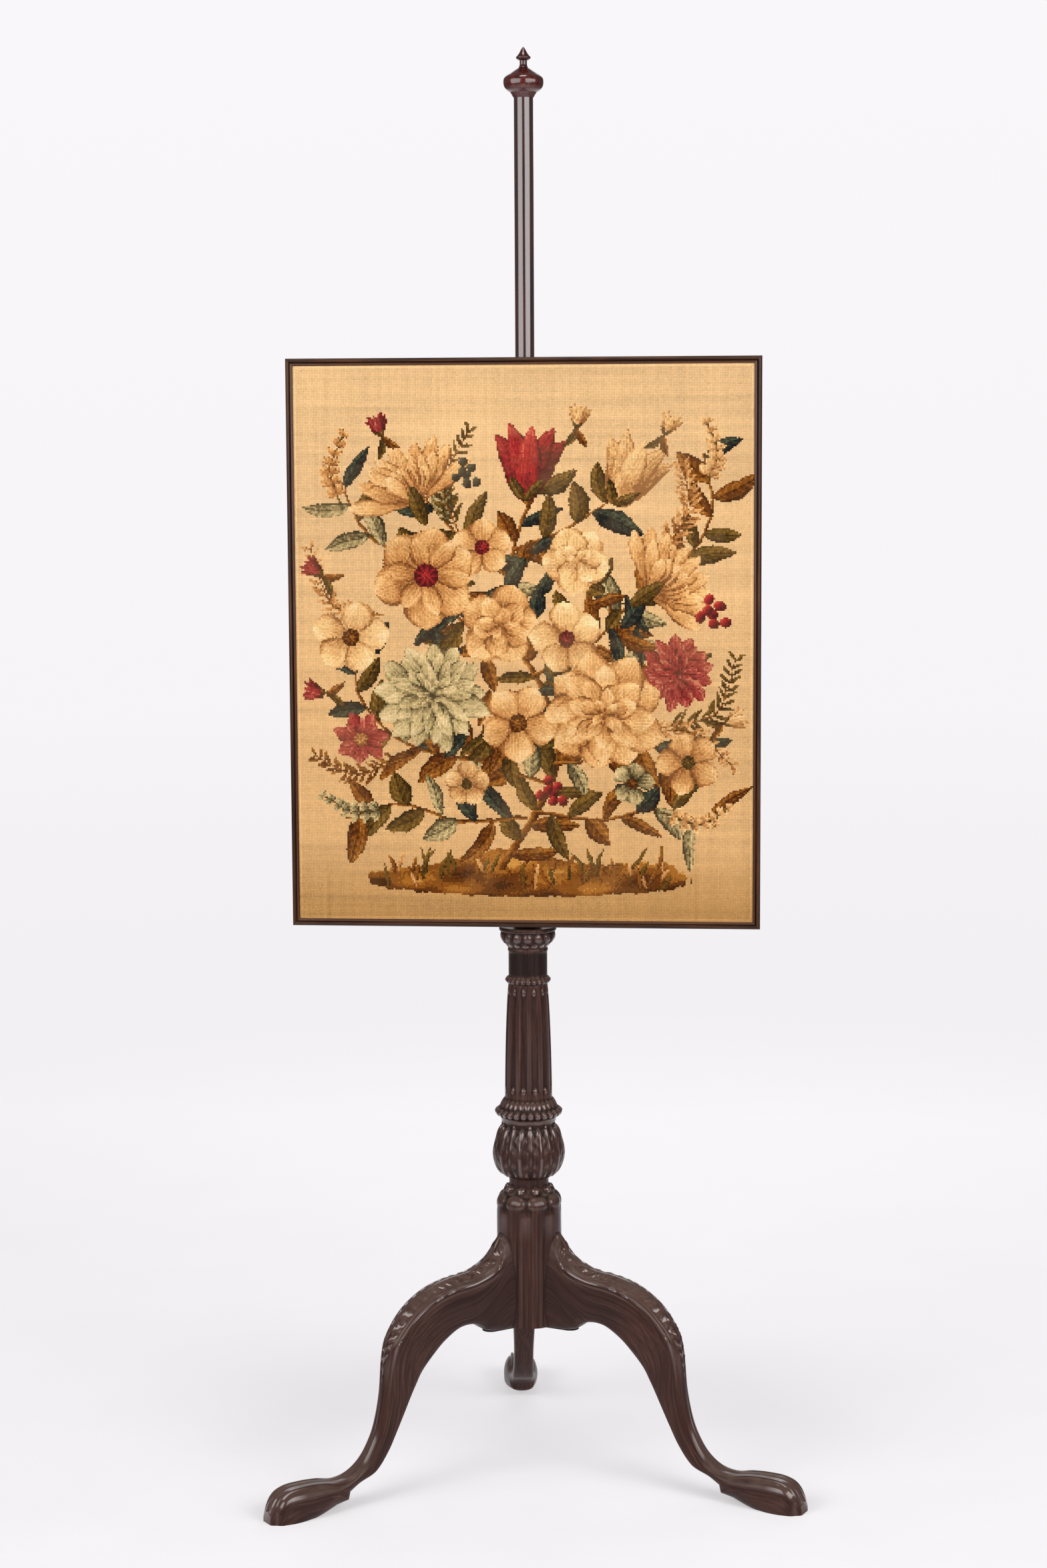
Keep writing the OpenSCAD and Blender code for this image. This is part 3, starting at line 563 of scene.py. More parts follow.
lathe(
    "carved_column", column_outline, COLUMN_COLS, column_spacing, column_relief, COLUMN_WEAR, column_painted_shade,
    material=CARVED, node="column", slot_name="carved_mahogany", sharp=60,
)

# Pole and finial

FINIAL_Z, FINIAL_TOP = level("finial", 0), level("finial", 1)
KNOP_R, KNOP_H, KNOP_NECK = 21.3, 29, [14.2, 5.6]
SPOOL_R, DISC_R, TIP_R, TIP_H = 3.9, 7.8, 3.6, FINIAL_TOP - FINIAL_Z
POLE_COLS, POLE_STEP, FINIAL_COLS, FINIAL_STEP, TURNED_WEAR = 72, 6.0, 96, 0.9, 1.0


def turned_relief(angle, z, radius):
    """A turned piece's slight unevenness."""
    return wander((len(z), angle.shape[1]), 10, 0.04)


lathe(
    "turned_pole", [[POLE_R, level("pole", 0)], [POLE_R, FINIAL_Z - 0.1]],
    POLE_COLS, lambda z: POLE_STEP, turned_relief, TURNED_WEAR,
    material=POLISHED, node="pole", slot_name="polished_mahogany",
)
belly_low, belly_high = [KNOP_R - 0.3, KNOP_H - 15.5], [KNOP_R - 0.3, KNOP_H - 10]
shoulder, spool_foot = [KNOP_R - 4.5, KNOP_H - 5.4], [SPOOL_R + 1.6, KNOP_H + 1.8]
spool, disc, tip_foot = [SPOOL_R, KNOP_H + 9.2], [DISC_R, KNOP_H + 13], [TIP_R, TIP_H - 5.2]
finial_outline = [
    [POLE_R + 0.4, 0],
    *bend([POLE_R + 0.4, 0], [KNOP_NECK[0] - 2, 3], KNOP_NECK, 10),
    *bend(KNOP_NECK, [KNOP_R - 0.9, KNOP_NECK[1] + 3.2], belly_low, 14),
    *bend(belly_low, [KNOP_R + 0.3, KNOP_H - 13], belly_high, 10),
    *bend(belly_high, [KNOP_R - 0.9, KNOP_H - 7.6], shoulder, 12),
    *bend(shoulder, [spool_foot[0] + 4, KNOP_H - 0.8], spool_foot, 12),
    *bend(spool_foot, [SPOOL_R, KNOP_H + 3.4], [SPOOL_R, KNOP_H + 6]),
    spool,
    *bend(spool, [DISC_R, KNOP_H + 10.6], disc),
    *bend(disc, [5.2, KNOP_H + 15.6], tip_foot),
    *bend(tip_foot, [2, TIP_H - 1.9], [0.15, TIP_H]),
]
lathe(
    "turned_finial", [[r, z + FINIAL_Z] for r, z in finial_outline],
    FINIAL_COLS, lambda z: FINIAL_STEP, turned_relief, TURNED_WEAR,
    # Painted shade on the spire above the knop; the knop a little lighter and glossier.
    lambda z: np.where(z < FINIAL_Z + KNOP_H, 1.1, 0.7),
    material=FINIAL_WOOD, node="finial", slot_name="polished_mahogany",
)

# Legs: cabriole, with a carved knee and a slipper foot

LEG_REACH, SHOULDER_R = 331, 29.13
KNEE_R, KNEE_Z, ANKLE_R, ANKLE_Z, ANKLE_T = 144, 219, 203, 63, 23
ARCH_R, ARCH_Z, FOOT_H, FOOT_W = 86, 179, 36, 41
HEEL_R, HEEL_END_R, HEEL_RISE = LEG_REACH - 73, LEG_REACH - 96, 9
LEDGE_R, ROOT_SINK = HEEL_R + 17, 0.4
# Each station: radius and height of its top and of its underside, width, then its shares of edge bead,
# of drawing in at the top and of rounded foot
leg_stations = np.array([
    [SHOULDER_R, ROOT_TOP, SHOULDER_R, PILLAR_LOW - 2, ROOT_T, 0, 0.25, 0],
    [BLOCK_R + 2, ROOT_TOP - 6, SHOULDER_R + 14, PILLAR_LOW - 2, ROOT_T, 0, 0.25, 0],
    [BLOCK_R + 15, ROOT_TOP - 25, ARCH_R - 24, PILLAR_LOW + 1, ROOT_T, 1, 0.24, 0],
    [KNEE_R - 68, KNEE_Z + 17, ARCH_R - 8, ARCH_Z - 1.5, ROOT_T, 1, 0.16, 0],
    [KNEE_R - 36, KNEE_Z + 12, ARCH_R + 12, ARCH_Z - 2, ROOT_T, 1, 0.12, 0],
    [KNEE_R - 10, KNEE_Z + 4, ARCH_R + 31, ARCH_Z - 13, ROOT_T - 1, 1, 0.1, 0],
    [KNEE_R + 16, KNEE_Z - 13, KNEE_R - 13, ARCH_Z - 27, ROOT_T - 4, 1, 0.1, 0],
    [KNEE_R + 36, KNEE_Z - 38, KNEE_R, ARCH_Z - 43, ROOT_T - 9, 1, 0.1, 0],
    [KNEE_R + 43, KNEE_Z - 61, KNEE_R + 8, ARCH_Z - 58, ANKLE_T + 5, 0.6, 0.1, 0],
    [ANKLE_R - 12, ANKLE_Z + 54, ANKLE_R - 42, ANKLE_Z + 40, ANKLE_T + 2, 0.15, 0.1, 0],
    [ANKLE_R - 5, ANKLE_Z + 20, ANKLE_R - 29, ANKLE_Z + 13, ANKLE_T, 0, 0.05, 0],
    [ANKLE_R + 4, ANKLE_Z - 1, ANKLE_R - 17, ANKLE_Z - 9, ANKLE_T, 0, 0, 0],
    [ANKLE_R + 15, ANKLE_Z - 17, ANKLE_R - 1, ANKLE_Z - 28, ANKLE_T + 2, 0, 0, 0],
    [HEEL_R - 26, FOOT_H - 1, ANKLE_R + 20, ANKLE_Z - 38, ANKLE_T + 5, 0, 0, 0.5],
    [HEEL_R - 8, FOOT_H - 4, HEEL_R - 18, 13, FOOT_W - 8, 0, 0, 1],
    [HEEL_R + 10, FOOT_H - 2, HEEL_R - 4, 4, FOOT_W - 3, 0, 0, 1],
    [HEEL_R + 28, FOOT_H - 1, HEEL_R + 22, -2, FOOT_W, 0, 0, 0.4],
    [LEG_REACH - 25, FOOT_H - 2, LEG_REACH - 24, -2, FOOT_W - 3, 0, 0, 0],
    [LEG_REACH - 11, FOOT_H - 9, LEG_REACH - 9, -2, FOOT_W - 11, 0, 0, 0],
    [LEG_REACH - 2, 12, LEG_REACH - 1, -2, FOOT_W - 25, 0, 0, 0],
])
# Right halves of the sections, from the underside up, as shares of half width and height
TOP_HALF = [[0.73, 0.87], [0.59, 0.93], [0.42, 0.97], [0.22, 0.995]]
BEADED_HALF = [
    [0.5, 0], [0.86, 0.05], [0.96, 0.18], [0.98, 0.5], [0.94, 0.7], [0.91, 0.76],
    [1, 0.8], [1, 0.86], [0.9, 0.89], [0.74, 0.91], [0.36, 0.975],
]
PLAIN_HALF = [
    [0.5, 0], [0.86, 0.04], [0.98, 0.16], [1, 0.38], [0.97, 0.56], [0.92, 0.68], [0.84, 0.79], *TOP_HALF
]
PAD_HALF = [
    [0.14, 0], [0.45, 0.04], [0.72, 0.14], [0.9, 0.3], [0.98, 0.47], [0.95, 0.64], [0.86, 0.77], *TOP_HALF
]
SPAN_STEPS, RING_STEPS, EDGE_AT = 16, 6, 0.83
LEG_WEAR = 4, 4, 1.8


def section(half):
    """The widths and heights of a closed leg section."""
    half = np.array(half, float)
    return glide(np.vstack([half, [[0, 1]], half[::-1] * [-1, 1]]), RING_STEPS, closed=True).T


def leg_carving(station, across, height, along):
    """The relief on a leg: foliage down the knee, scrolls along its edges, and a ridged slipper foot."""
    # Foliage between the edge ridges, running out to a point below the knee
    half = np.interp(station, [0.6, 1.5, 3, 5, 6.5, 7.6, 8.9], [5, 13, 15, 15.5, 13.5, 9, 0.1])
    share = np.abs(across) / np.maximum(half, 0.1)
    inside = smooth(1.0, 0.86, share) * smooth(0.86, 0.93, height) * within(station, 0.5, 0.9, 8.7, 9.0)
    wave = along + 3.2 * np.sin(along / 17 + 1) + 1.8 * np.sin(across / 3.6 + along / 9)
    lobes = np.maximum(np.cos(2 * pi * (wave / 10.5 + 0.8 * share)), -0.6)
    fine = np.cos(2 * pi * (wave / 4.3 - 0.9 * share)) * (0.6 + 0.4 * np.sin(along / 7))
    leafy = (0.62 * lobes + 0.34 * fine) * smooth(0.1, 0.4, share) + 0.8 * hump(across, 1.7)
    relief = inside * (0.3 + leafy * (1.05 + 0.35 * np.sin(along / 21)))
    # A ridge down the shin to the instep
    relief += 0.8 * hump(across, 2.8) * smooth(0.8, 0.95, height) * within(station, 8.7, 9.8, 12.6, 14)
    # Edge scrolls: the raised edge swells and stops in small volutes
    swell = hump(station - 2.9, 0.9) + hump(station - 5.9, 1.0)
    knobs = sum(hump(station - s, 0.16) for s in (1.75, 4.2, 4.75, 6.95))
    relief += hump(height - EDGE_AT, 0.032) * (1.3 * swell + 1.7 * knobs)
    # A small volute on each side where the bracket ends under the thigh
    boss = np.hypot((station - 2.42) / 0.3, (height - 0.07) / 0.075)
    relief += np.where(height < 0.5, 1.1 * smooth(1.0, 0.75, boss) - 0.8 * hump(boss - 0.55, 0.16), 0)
    # Foot: a raised tongue from the instep, and ridges round the toe
    tongue = hump(across, 5.5) * smooth(0.75, 0.95, height)
    relief += 2.0 * tongue * within(station, 12.2, 13.6, 16.8, 18.6)
    groove = hump(np.abs(across) - 9.5, 1.6) * smooth(0.6, 0.8, height)
    relief -= 1.5 * groove * within(station, 13.6, 15, 16.8, 18.4)
    flutes = 0.5 - 0.5 * np.cos(2 * pi * across / 6.5)
    return relief - 0.8 * flutes * smooth(16.9, 17.8, station) * smooth(0.1, 0.3, height)


def leg_polish_and_painted_light(station, across, high):
    """Raised field on a leg for wax polish and painted light: lighter knee tops that stand for light from
    above, and painted highlights on the shin and toe.
    """
    knee = 0.14 * smooth(0.86, 0.93, high) * within(station, 0.6, 1.4, 8, 9)
    shin = 0.45 * hump(across, 7.0) * smooth(0.7, 0.9, high) * within(station, 9.5, 11, 12.8, 14)
    toe = 0.26 * smooth(16, 17.2, station) * smooth(0.55, 0.8, high)
    return knee + shin + toe


def cabriole(name, node, turn):
    """One leg, lofted through its stations and carved."""
    run = glide(leg_stations, SPAN_STEPS)
    top_r, top_z, low_r, low_z, thick, bead, draw, pad = run.T[..., None]
    bead, pad = np.clip(bead, 0, 1), np.clip(pad, 0, 1)
    station = (np.arange(len(run)) / SPAN_STEPS)[:, None]
    halves = zip(section(PLAIN_HALF), section(PAD_HALF), section(BEADED_HALF))
    wide, high = ((p * (1 - pad) + f * pad) * (1 - bead) + b * bead for p, f, b in halves)
    # The loft, with a ledge left at the heel
    ledge = np.maximum(0, low_z - HEEL_RISE * (LEDGE_R - low_r) / (LEDGE_R - HEEL_END_R))
    ledge = ledge * smooth(HEEL_END_R - 1, HEEL_END_R + 1, low_r) * smooth(0.55, 0.2, high)
    y = wide * thick / 2 * (1 - draw * np.maximum(0, 2 * high - 1) ** 2)
    grid = np.stack([low_r + (top_r - low_r) * high, y, low_z + (top_z - low_z) * high - ledge], axis=-1)
    along = run_length((run[:, 0:2] + run[:, 2:4]) / 2)[:, None]
    # The carving, outward
    around = np.roll(grid, -1, axis=1) - np.roll(grid, 1, axis=1)
    carving = leg_carving(station, y, high, along)
    carving = carving + 0.06 * np.sin(along / 9 + 3 * high) * smooth(1, 2, station)
    grid = grid + unit(np.cross(np.gradient(grid, axis=0), around)) * carving[..., None]
    # The root ends at the block, and the leg stays above the block's foot and the floor
    root = np.sqrt(np.maximum(0, BLOCK_R**2 - grid[..., 1] ** 2)) - ROOT_SINK
    grid[..., 0] = np.maximum(grid[..., 0], root)
    grid[..., 2] = np.maximum(grid[..., 2], np.where(grid[..., 0] < ARCH_R - 22, PILLAR_LOW, 0.0))
    grain = np.stack([y, (1 - high) * np.hypot(top_r - low_r, top_z - low_z), along + 0 * y], axis=-1)
    # Painted highlight, with polish, along the edge beads.
    edges = 0.35 * bead * hump(high - EDGE_AT, 0.035)
    # Painted shade on the lower sides of the thigh near the block; the leg also darkens at its joint with the
    # block.
    shaded_flank = smooth(0.78, 0.6, high) * smooth(6, 4, station)
    worn = np.minimum(wear_of(carving, *LEG_WEAR) + edges + leg_polish_and_painted_light(station, y, high), 1)
    worn = worn * (1 - 0.4 * shaded_flank) * smooth(-0.5, 2.2, np.hypot(grid[..., 0], grid[..., 1]) - BLOCK_R)
    c, s = cos(turn), sin(turn)
    put_mesh(
        name, grid @ np.array([[c, s, 0], [-s, c, 0], [0, 0, 1]]), tube_faces(*high.shape),
        CARVED, "stand", node, "carved_mahogany", sharp=70, grain=grain * MM + turn, worn=worn,
    )


for leg_name, degrees in (("back", 90), ("front_left", 210), ("front_right", 330)):
    cabriole("carved_leg_" + leg_name, "leg_" + leg_name, radians(degrees) + TRIPOD_TURN)

# Screen: mouldings round the needlework

SCREEN_W, SCREEN_LOW, SCREEN_TOP = 506, level("moulding_bottom", 0), level("moulding_top", 1)
FRONT_Y, BACK_Y = level("moulding_top", 0, 1), level("moulding_top", 1, 1)
MOULDING_W, BEAD_R, BEAD_DROP, NOSE_R, MOULDING_ROWS = 8, 1.6, 0.6, 3.4, 161


def arc(centre, radius, start, end):
    """Points of a round edge."""
    turns = np.radians(np.linspace(start, end, ROUND_STEPS + 1))
    return np.stack([centre[0] + radius * np.cos(turns), centre[1] + radius * np.sin(turns)], axis=1)


def moulding(name, node, first, second, inward):
    """One mitred length of moulding, from an outer corner to the next, with its sight edge inward."""
    profile = np.vstack([
        [[0, BACK_Y - FRONT_Y], [0, 2 * BEAD_R]],
        arc([BEAD_R, BEAD_R + BEAD_DROP], BEAD_R, 180, 360),
        arc([MOULDING_W - NOSE_R, NOSE_R], NOSE_R, -90, 0),
        [[MOULDING_W, BACK_Y - FRONT_Y]],
    ])
    from_sight = profile[:, 0][None, :]
    from_edge, depth = MOULDING_W - from_sight, FRONT_Y + profile[:, 1][None, :]
    first, second, inward = (np.array(p, float) for p in (first, second, inward))
    length = np.linalg.norm(second - first)
    along = from_edge + (length - 2 * from_edge) * np.linspace(0, 1, MOULDING_ROWS)[:, None]
    flat = first + (second - first) / length * along[..., None] + inward * from_edge[..., None]
    uneven = 0.05 * np.sin(along / 17 + 2) * np.sin(along / 5.3) * (from_edge > 0.5)
    grain = np.stack([from_edge + 0 * along, depth + 0 * along, along], axis=-1) * MM
    # Painted shade in the groove behind the sight-edge bead, and a painted highlight with polish on the bead's
    # front.
    worn = 0.5 - 0.42 * hump(2 * BEAD_R + 0.3 - from_sight, 0.7) + 0 * along
    worn = worn + 0.3 * hump(BEAD_R - from_sight, 1.0) * (depth < FRONT_Y + 3)
    put_mesh(
        name, np.stack([flat[..., 0], depth + uneven, flat[..., 1]], axis=-1), tube_faces(*along.shape),
        FRAMING, "screen", node, "frame_mahogany", sharp=40,
        grain=grain + sum(name.encode()) * 0.01, worn=np.clip(worn, 0, 1),
    )


side = SCREEN_W / 2
corners = [(-side, SCREEN_LOW), (side, SCREEN_LOW), (side, SCREEN_TOP), (-side, SCREEN_TOP)]
edges = (("bottom", (0, 1)), ("right", (-1, 0)), ("top", (0, -1)), ("left", (1, 0)))
for k, (edge, inward) in enumerate(edges):
    moulding("mitred_moulding_" + edge, "moulding_" + edge, corners[k], corners[(k + 1) % 4], inward)

# Needlework: the worked design, stitch by stitch

STITCHES_X, STITCHES_Y = 286, 347
CLOTH_W, CLOTH_H = SCREEN_W - 2 * MOULDING_W + 1, SCREEN_TOP - SCREEN_LOW - 2 * MOULDING_W + 1
CLOTH_LOW = SCREEN_LOW + MOULDING_W - 0.5
CLOTH_Y, BACKING_Y = level("needlework", 0, 1), level("back_cloth", 1, 1)
PITCH_X, PITCH_Y = CLOTH_W / STITCHES_X, CLOTH_H / STITCHES_Y
BACKING_COLS, BACKING_ROWS = 120, 144
STITCH_LIFT, CANVAS_SLACK, LINING_SLACK, PUCKER = 0.25, 0.18, 0.25, 0.18
stitch_x, stitch_y = np.meshgrid(
    (np.arange(STITCHES_X) + 0.5) * PITCH_X - CLOTH_W / 2, (np.arange(STITCHES_Y) + 0.5) * PITCH_Y
)


def shades(*levels):
    """A family of yarns from dark to pale, in linear values."""
    return np.array([tone(*entry)[:3] for entry in levels])


def cloudy(tall, wide):
    """A soft random field over the stitches, in patches of so many rows and columns."""
    coarse = chance.normal(0, 1, (STITCHES_Y // tall + 2, STITCHES_X // wide + 2))
    up, across = np.arange(STITCHES_Y) / tall, np.arange(STITCHES_X) / wide
    i, j = up.astype(int), across.astype(int)
    a, b = smooth(0, 1, up - i)[:, None], smooth(0, 1, across - j)[None, :]
    low, high = (coarse[np.ix_(i + k, j)] * (1 - b) + coarse[np.ix_(i + k, j + 1)] * b for k in (0, 1))
    return low * (1 - a) + high * a


def grainy():
    """A random value for each stitch."""
    return chance.normal(0, 1, (STITCHES_Y, STITCHES_X))


HONEY = shades((120, 74, 40), (158, 106, 60), (192, 140, 86), (216, 168, 112), (234, 194, 142), (243, 213, 170))
CREAM = shades((144, 98, 58), (186, 138, 88), (216, 174, 122), (235, 200, 150), (246, 220, 178))
CRIMSON = shades((78, 20, 28), (116, 26, 34), (152, 36, 42), (178, 56, 56), (200, 100, 86))
BERRY = shades((68, 18, 24), (106, 26, 34), (138, 40, 46), (162, 66, 64), (192, 118, 98))
CELADON = shades((54, 50, 36), (98, 90, 64), (146, 134, 98), (184, 170, 128), (210, 194, 152), (228, 212, 176))
OLIVE = shades((48, 35, 13), (74, 54, 19), (100, 76, 29), (128, 98, 43), (160, 128, 64))
BRONZE = shades((66, 34, 10), (98, 54, 16), (132, 80, 26), (164, 108, 42), (194, 144, 74))
NIGHT = shades((16, 18, 24), (28, 34, 36), (46, 56, 50), (72, 82, 66), (108, 114, 86))
GROUND_TOP, GROUND_MID, GROUND_LOW = shades((238, 194, 139), (231, 182, 123), (196, 147, 88))
AGED_DYE = np.array([1.14, 1.0, 0.8])
STEM_STEPS, FAN_PETALS, BUNCH, BUNCH_TURN, BUNCH_GAP = 40, 9, 7, 2.4, 1.15

sunk, foot = smooth(560, 60, stitch_y)[..., None], smooth(100, 0, stitch_y)[..., None]
ground = (GROUND_TOP * (1 - sunk) + GROUND_MID * sunk) * (1 - foot) + GROUND_LOW * foot
design = ground.copy()
raised = np.zeros((STITCHES_Y, STITCHES_X))
place_x = stitch_x + 0.5 * cloudy(4, 4) + 0.2 * grainy()
place_y = stitch_y + 0.5 * cloudy(4, 4) + 0.2 * grainy()
broken = 0.05 * cloudy(5, 5) + 0.04 * grainy()


def patch(x, y, reach):
    """The stitches within reach of a point, and their places from it."""
    left, right = ((x + step + CLOTH_W / 2) / PITCH_X for step in (-reach, reach))
    left, right = np.clip([left, right + 2], 0, STITCHES_X)
    low, high = np.clip([(y - reach) / PITCH_Y, (y + reach) / PITCH_Y + 2], 0, STITCHES_Y)
    spot = np.s_[int(low) : int(high), int(left) : int(right)]
    return spot, place_x[spot] - x, place_y[spot] - y


def work(spot, mask, yarns, value, lift):
    """Fills a mask with a yarn family, darkest at 0 and palest at 1, broken up as by hand."""
    step = np.clip(((value + broken[spot]) * len(yarns)).astype(int), 0, len(yarns) - 1)
    design[spot][mask] = yarns[step][mask]
    raised[spot][mask] = lift


def aim(degrees):
    return cos(radians(degrees)), sin(radians(degrees))


def heading(way):
    return np.degrees(np.arctan2(way[1], way[0]))


def any_of(*families):
    return families[chance.integers(len(families))]


def petal(
    x, y, degrees, length, width, yarns, curve=0.0, belly=0.8, base=0.3, tip=0.4, side=0.2, vein=0.0, lift=0.8
):
    """A petal or leaf from its stalk end, shaded along, across and at its vein."""
    c, s = aim(degrees)
    spot, dx, dy = patch(x + c * length / 2, y + s * length / 2, (length + width) / 2)
    u, v = 0.5 + (dx * c + dy * s) / length, dy * c - dx * s
    t = np.clip(u, 0, 1)
    v = v - 2 * curve * length * t * (1 - t)
    share = v / (width / 2 * np.sin(pi * t**belly) ** 0.75 + 1e-6)
    value = base + tip * t + side * share - 0.34 * smooth(0.6, 0.98, np.abs(share))
    value = value + 0.07 * np.cos(1.7 * v + 4 * t)
    value = value - vein * (hump(v, 1.0) + 0.35 * np.cos(2 * pi * (u * length - np.abs(v)) / 8))
    work(spot, (u > 0) & (u < 1) & (np.abs(share) < 1), yarns, value, lift)


def leaf(x, y, degrees, length, width, yarns, curve=0.0):
    """A leaf with a vein, one side lighter."""
    petal(x, y, degrees, length, width, yarns, curve, 0.85, 0.42, 0.08, 0.26, 0.26, 0.6)


def stem(points, start, end, yarns=BRONZE):
    """A tapering stalk through points. Gives its run and the ways along it."""
    run = glide(points, STEM_STEPS)
    ways = unit(np.gradient(run, axis=0))
    for k, ((x, y), (c, s)) in enumerate(zip(run, ways)):
        half = (start + (end - start) * k / len(run)) / 2
        spot, dx, dy = patch(x, y, half + 2)
        work(spot, np.hypot(dx, dy) < half, yarns, 0.4 + 0.35 * (dy * c - dx * s) / half, 0.5)
    return run, ways


def eye(x, y, radius, yarns):
    """The speckled middle of a flower."""
    spot, dx, dy = patch(x, y, radius + 1)
    distance = np.hypot(dx, dy) / radius
    work(spot, distance < 1, yarns, 0.55 - 0.5 * distance + 0.25 * np.cos(9 * np.arctan2(dy, dx)), 1.0)


def bloom(x, y, radius, rings, yarns, turn=0.0, base=0.1, gain=0.62, middle=None):
    """An open flower: rings from the outside in, each with its size, number of petals and their width."""
    for size, count, width in rings:
        for k in range(count):
            degrees = turn + 360 * (k + some(-0.12, 0.12)) / count
            long, bow = radius * size * some(0.9, 1.06), some(-0.12, 0.12)
            dark, way = base + some(-0.06, 0.12), chance.choice((-0.14, 0.14))
            petal(x, y, degrees, long, radius * size * width, yarns, bow, 1.5, dark, gain, way, 0.05)
        turn += 180 / count
    if middle:
        eye(x, y, *middle)


PEONY = ((1.0, 9, 0.66), (0.8, 8, 0.62), (0.6, 7, 0.6), (0.42, 5, 0.62), (0.26, 4, 0.7))
DAHLIA = ((1.0, 13, 0.4), (0.82, 13, 0.36), (0.64, 11, 0.36), (0.46, 9, 0.38), (0.3, 7, 0.46), (0.16, 5, 0.7))
ROSE = ((1.0, 5, 0.95), (0.74, 5, 0.85), (0.5, 4, 0.85), (0.3, 3, 0.9))
WILD = ((1.0, 5, 0.86),)
STAR = ((1.0, 7, 0.5), (0.8, 7, 0.36))
COSMOS = ((1.0, 6, 0.8), (0.82, 6, 0.5))
# A carnation's rows of petals: size and spread
CARNATION = ((1.0, 68), (0.84, 50), (0.64, 30))
# A tulip's petals from the back: turn, size and shade
TULIP = ((30, 0.92, 0.12), (-30, 0.92, 0.02), (17, 1.0, 0.22), (-17, 1.0, 0.14), (0, 0.94, 0.34))


def fan(x, y, degrees, radius, yarns):
    """A carnation from its cup: fans of narrow petals."""
    for size, spread in CARNATION:
        for turn in np.linspace(-spread, spread, FAN_PETALS) + some(-3, 3, FAN_PETALS):
            dark = some(0.02, 0.2)
            long = radius * size * some(0.88, 1.05)
            petal(x, y, degrees + turn, long, radius * 0.24, yarns, 0, 1.9, dark, 0.66, 0.1)
    c, s = aim(degrees)
    leaf(x - 0.3 * radius * c, y - 0.3 * radius * s, degrees, 0.62 * radius, 0.24 * radius, OLIVE)


def chalice(x, y, degrees, length, yarns):
    """A tulip from the side."""
    for turn, size, dark in TULIP:
        bow = -turn * 0.006
        petal(x, y, degrees + turn, length * size, length * 0.36, yarns, bow, 0.72, dark, 0.45, 0.18, 0.1)
    for turn in (38, -38):
        leaf(x, y, degrees + turn, 0.36 * length, 0.13 * length, OLIVE)


def stalk(points, start, end, first, count, yarns):
    """A stalk's places for leaves: the number of each, where it is and the way the stalk heads."""
    run, ways = stem(points, start, end, yarns)
    for k, i in enumerate(np.linspace(first, len(run) - 1, count).astype(int)):
        yield k, *run[i], heading(ways[i])


def spray(points, size, yarns):
    """A stalk of small bells in pairs that get smaller to its tip."""
    for k, x, y, way in stalk(points, 2.6, 1.8, 8, 7, OLIVE):
        small = size * (1 - 0.08 * k)
        for turn in (-58, 58, -30, 30):
            petal(x, y, way + turn, small * some(0.75, 1.1), small * 0.5, yarns, 0, 1.3, 0.15, 0.6, 0.2)


def sprig(points, size, yarns):
    """A thin stalk set closely with narrow leaves."""
    for k, x, y, way in stalk(points, 2.4, 1.7, 6, 15, BRONZE):
        for turn in (way - 48, way + 48):
            dark = some(0.1, 0.35)
            petal(x, y, turn + some(-14, 14), size * (1.1 - 0.03 * k), 3.8, yarns, 0.05, 1.0, dark, 0.5, 0.1)


def berries(x, y, size, yarns):
    """A bunch of round berries with a light spot each."""
    for k in range(BUNCH):
        turn, away = k * BUNCH_TURN, size * BUNCH_GAP * sqrt(k)
        spot, dx, dy = patch(x + away * cos(turn), y + away * sin(turn), size + 2)
        work(spot, np.hypot(dx, dy) < size, yarns, 0.35 - 0.35 * (dx - dy) / size, 1.0)


# Low mound with grasses
spot, dx, dy = patch(4, 44, 176)
rise = np.where(dy > 0, 27 + 7 * np.cos(dx / 31 + 1), 18)
mound = (dx / (168 + 12 * np.cos(dx / 23))) ** 2 + (dy / rise) ** 2
swell = 0.5 + 0.2 * np.sin(dx / 26 + dy / 9) + 0.16 * np.sin(dx / 11 - dy / 6)
swell = swell - 0.3 * smooth(0.5, 1.0, mound) * (dy < 0)
ragged = 0.1 * np.sin(dx / 5 + 1) * np.sin(dx / 2.3)
work(spot, mound + ragged < 1, BRONZE, 0.9 * swell + 0.12 * (dy > 8), 0.5)
GRASSES, GRASS_HALF = 46, 150
for x in some(-GRASS_HALF, GRASS_HALF, GRASSES):
    family = any_of(OLIVE, BRONZE, OLIVE, HONEY)
    petal(x, 40 + some(-8, 18), 90 + some(-38, 38), some(16, 34), 4.6, family, some(-0.2, 0.2))

# Branches, with leaves along them; the first is the main one
LEAF_FROM, LEAF_GAP = 14, 19
branches = (
    ((-24, 60), (14, 120), (36, 180), (20, 250), (-16, 320), (-10, 400), (16, 470)),
    ((22, 150), (-40, 172), (-96, 214)), ((34, 170), (66, 176), (84, 214)), ((0, 290), (-60, 318), (-98, 368)),
    ((10, 265), (66, 292), (122, 352)), ((-40, 172), (-124, 190), (-176, 240), (-180, 300)),
    ((70, 180), (130, 190), (178, 160)), ((80, 296), (130, 276), (158, 262)),
    ((-14, 370), (-66, 412), (-112, 462)), ((-8, 400), (44, 420), (94, 452)),
    ((100, 330), (160, 372), (200, 436), (192, 500)),
    ((-98, 390), (-160, 410), (-196, 468)), ((0, 112), (-70, 108), (-134, 126), (-192, 110)),
    ((14, 118), (80, 110), (146, 122), (204, 104)),
)
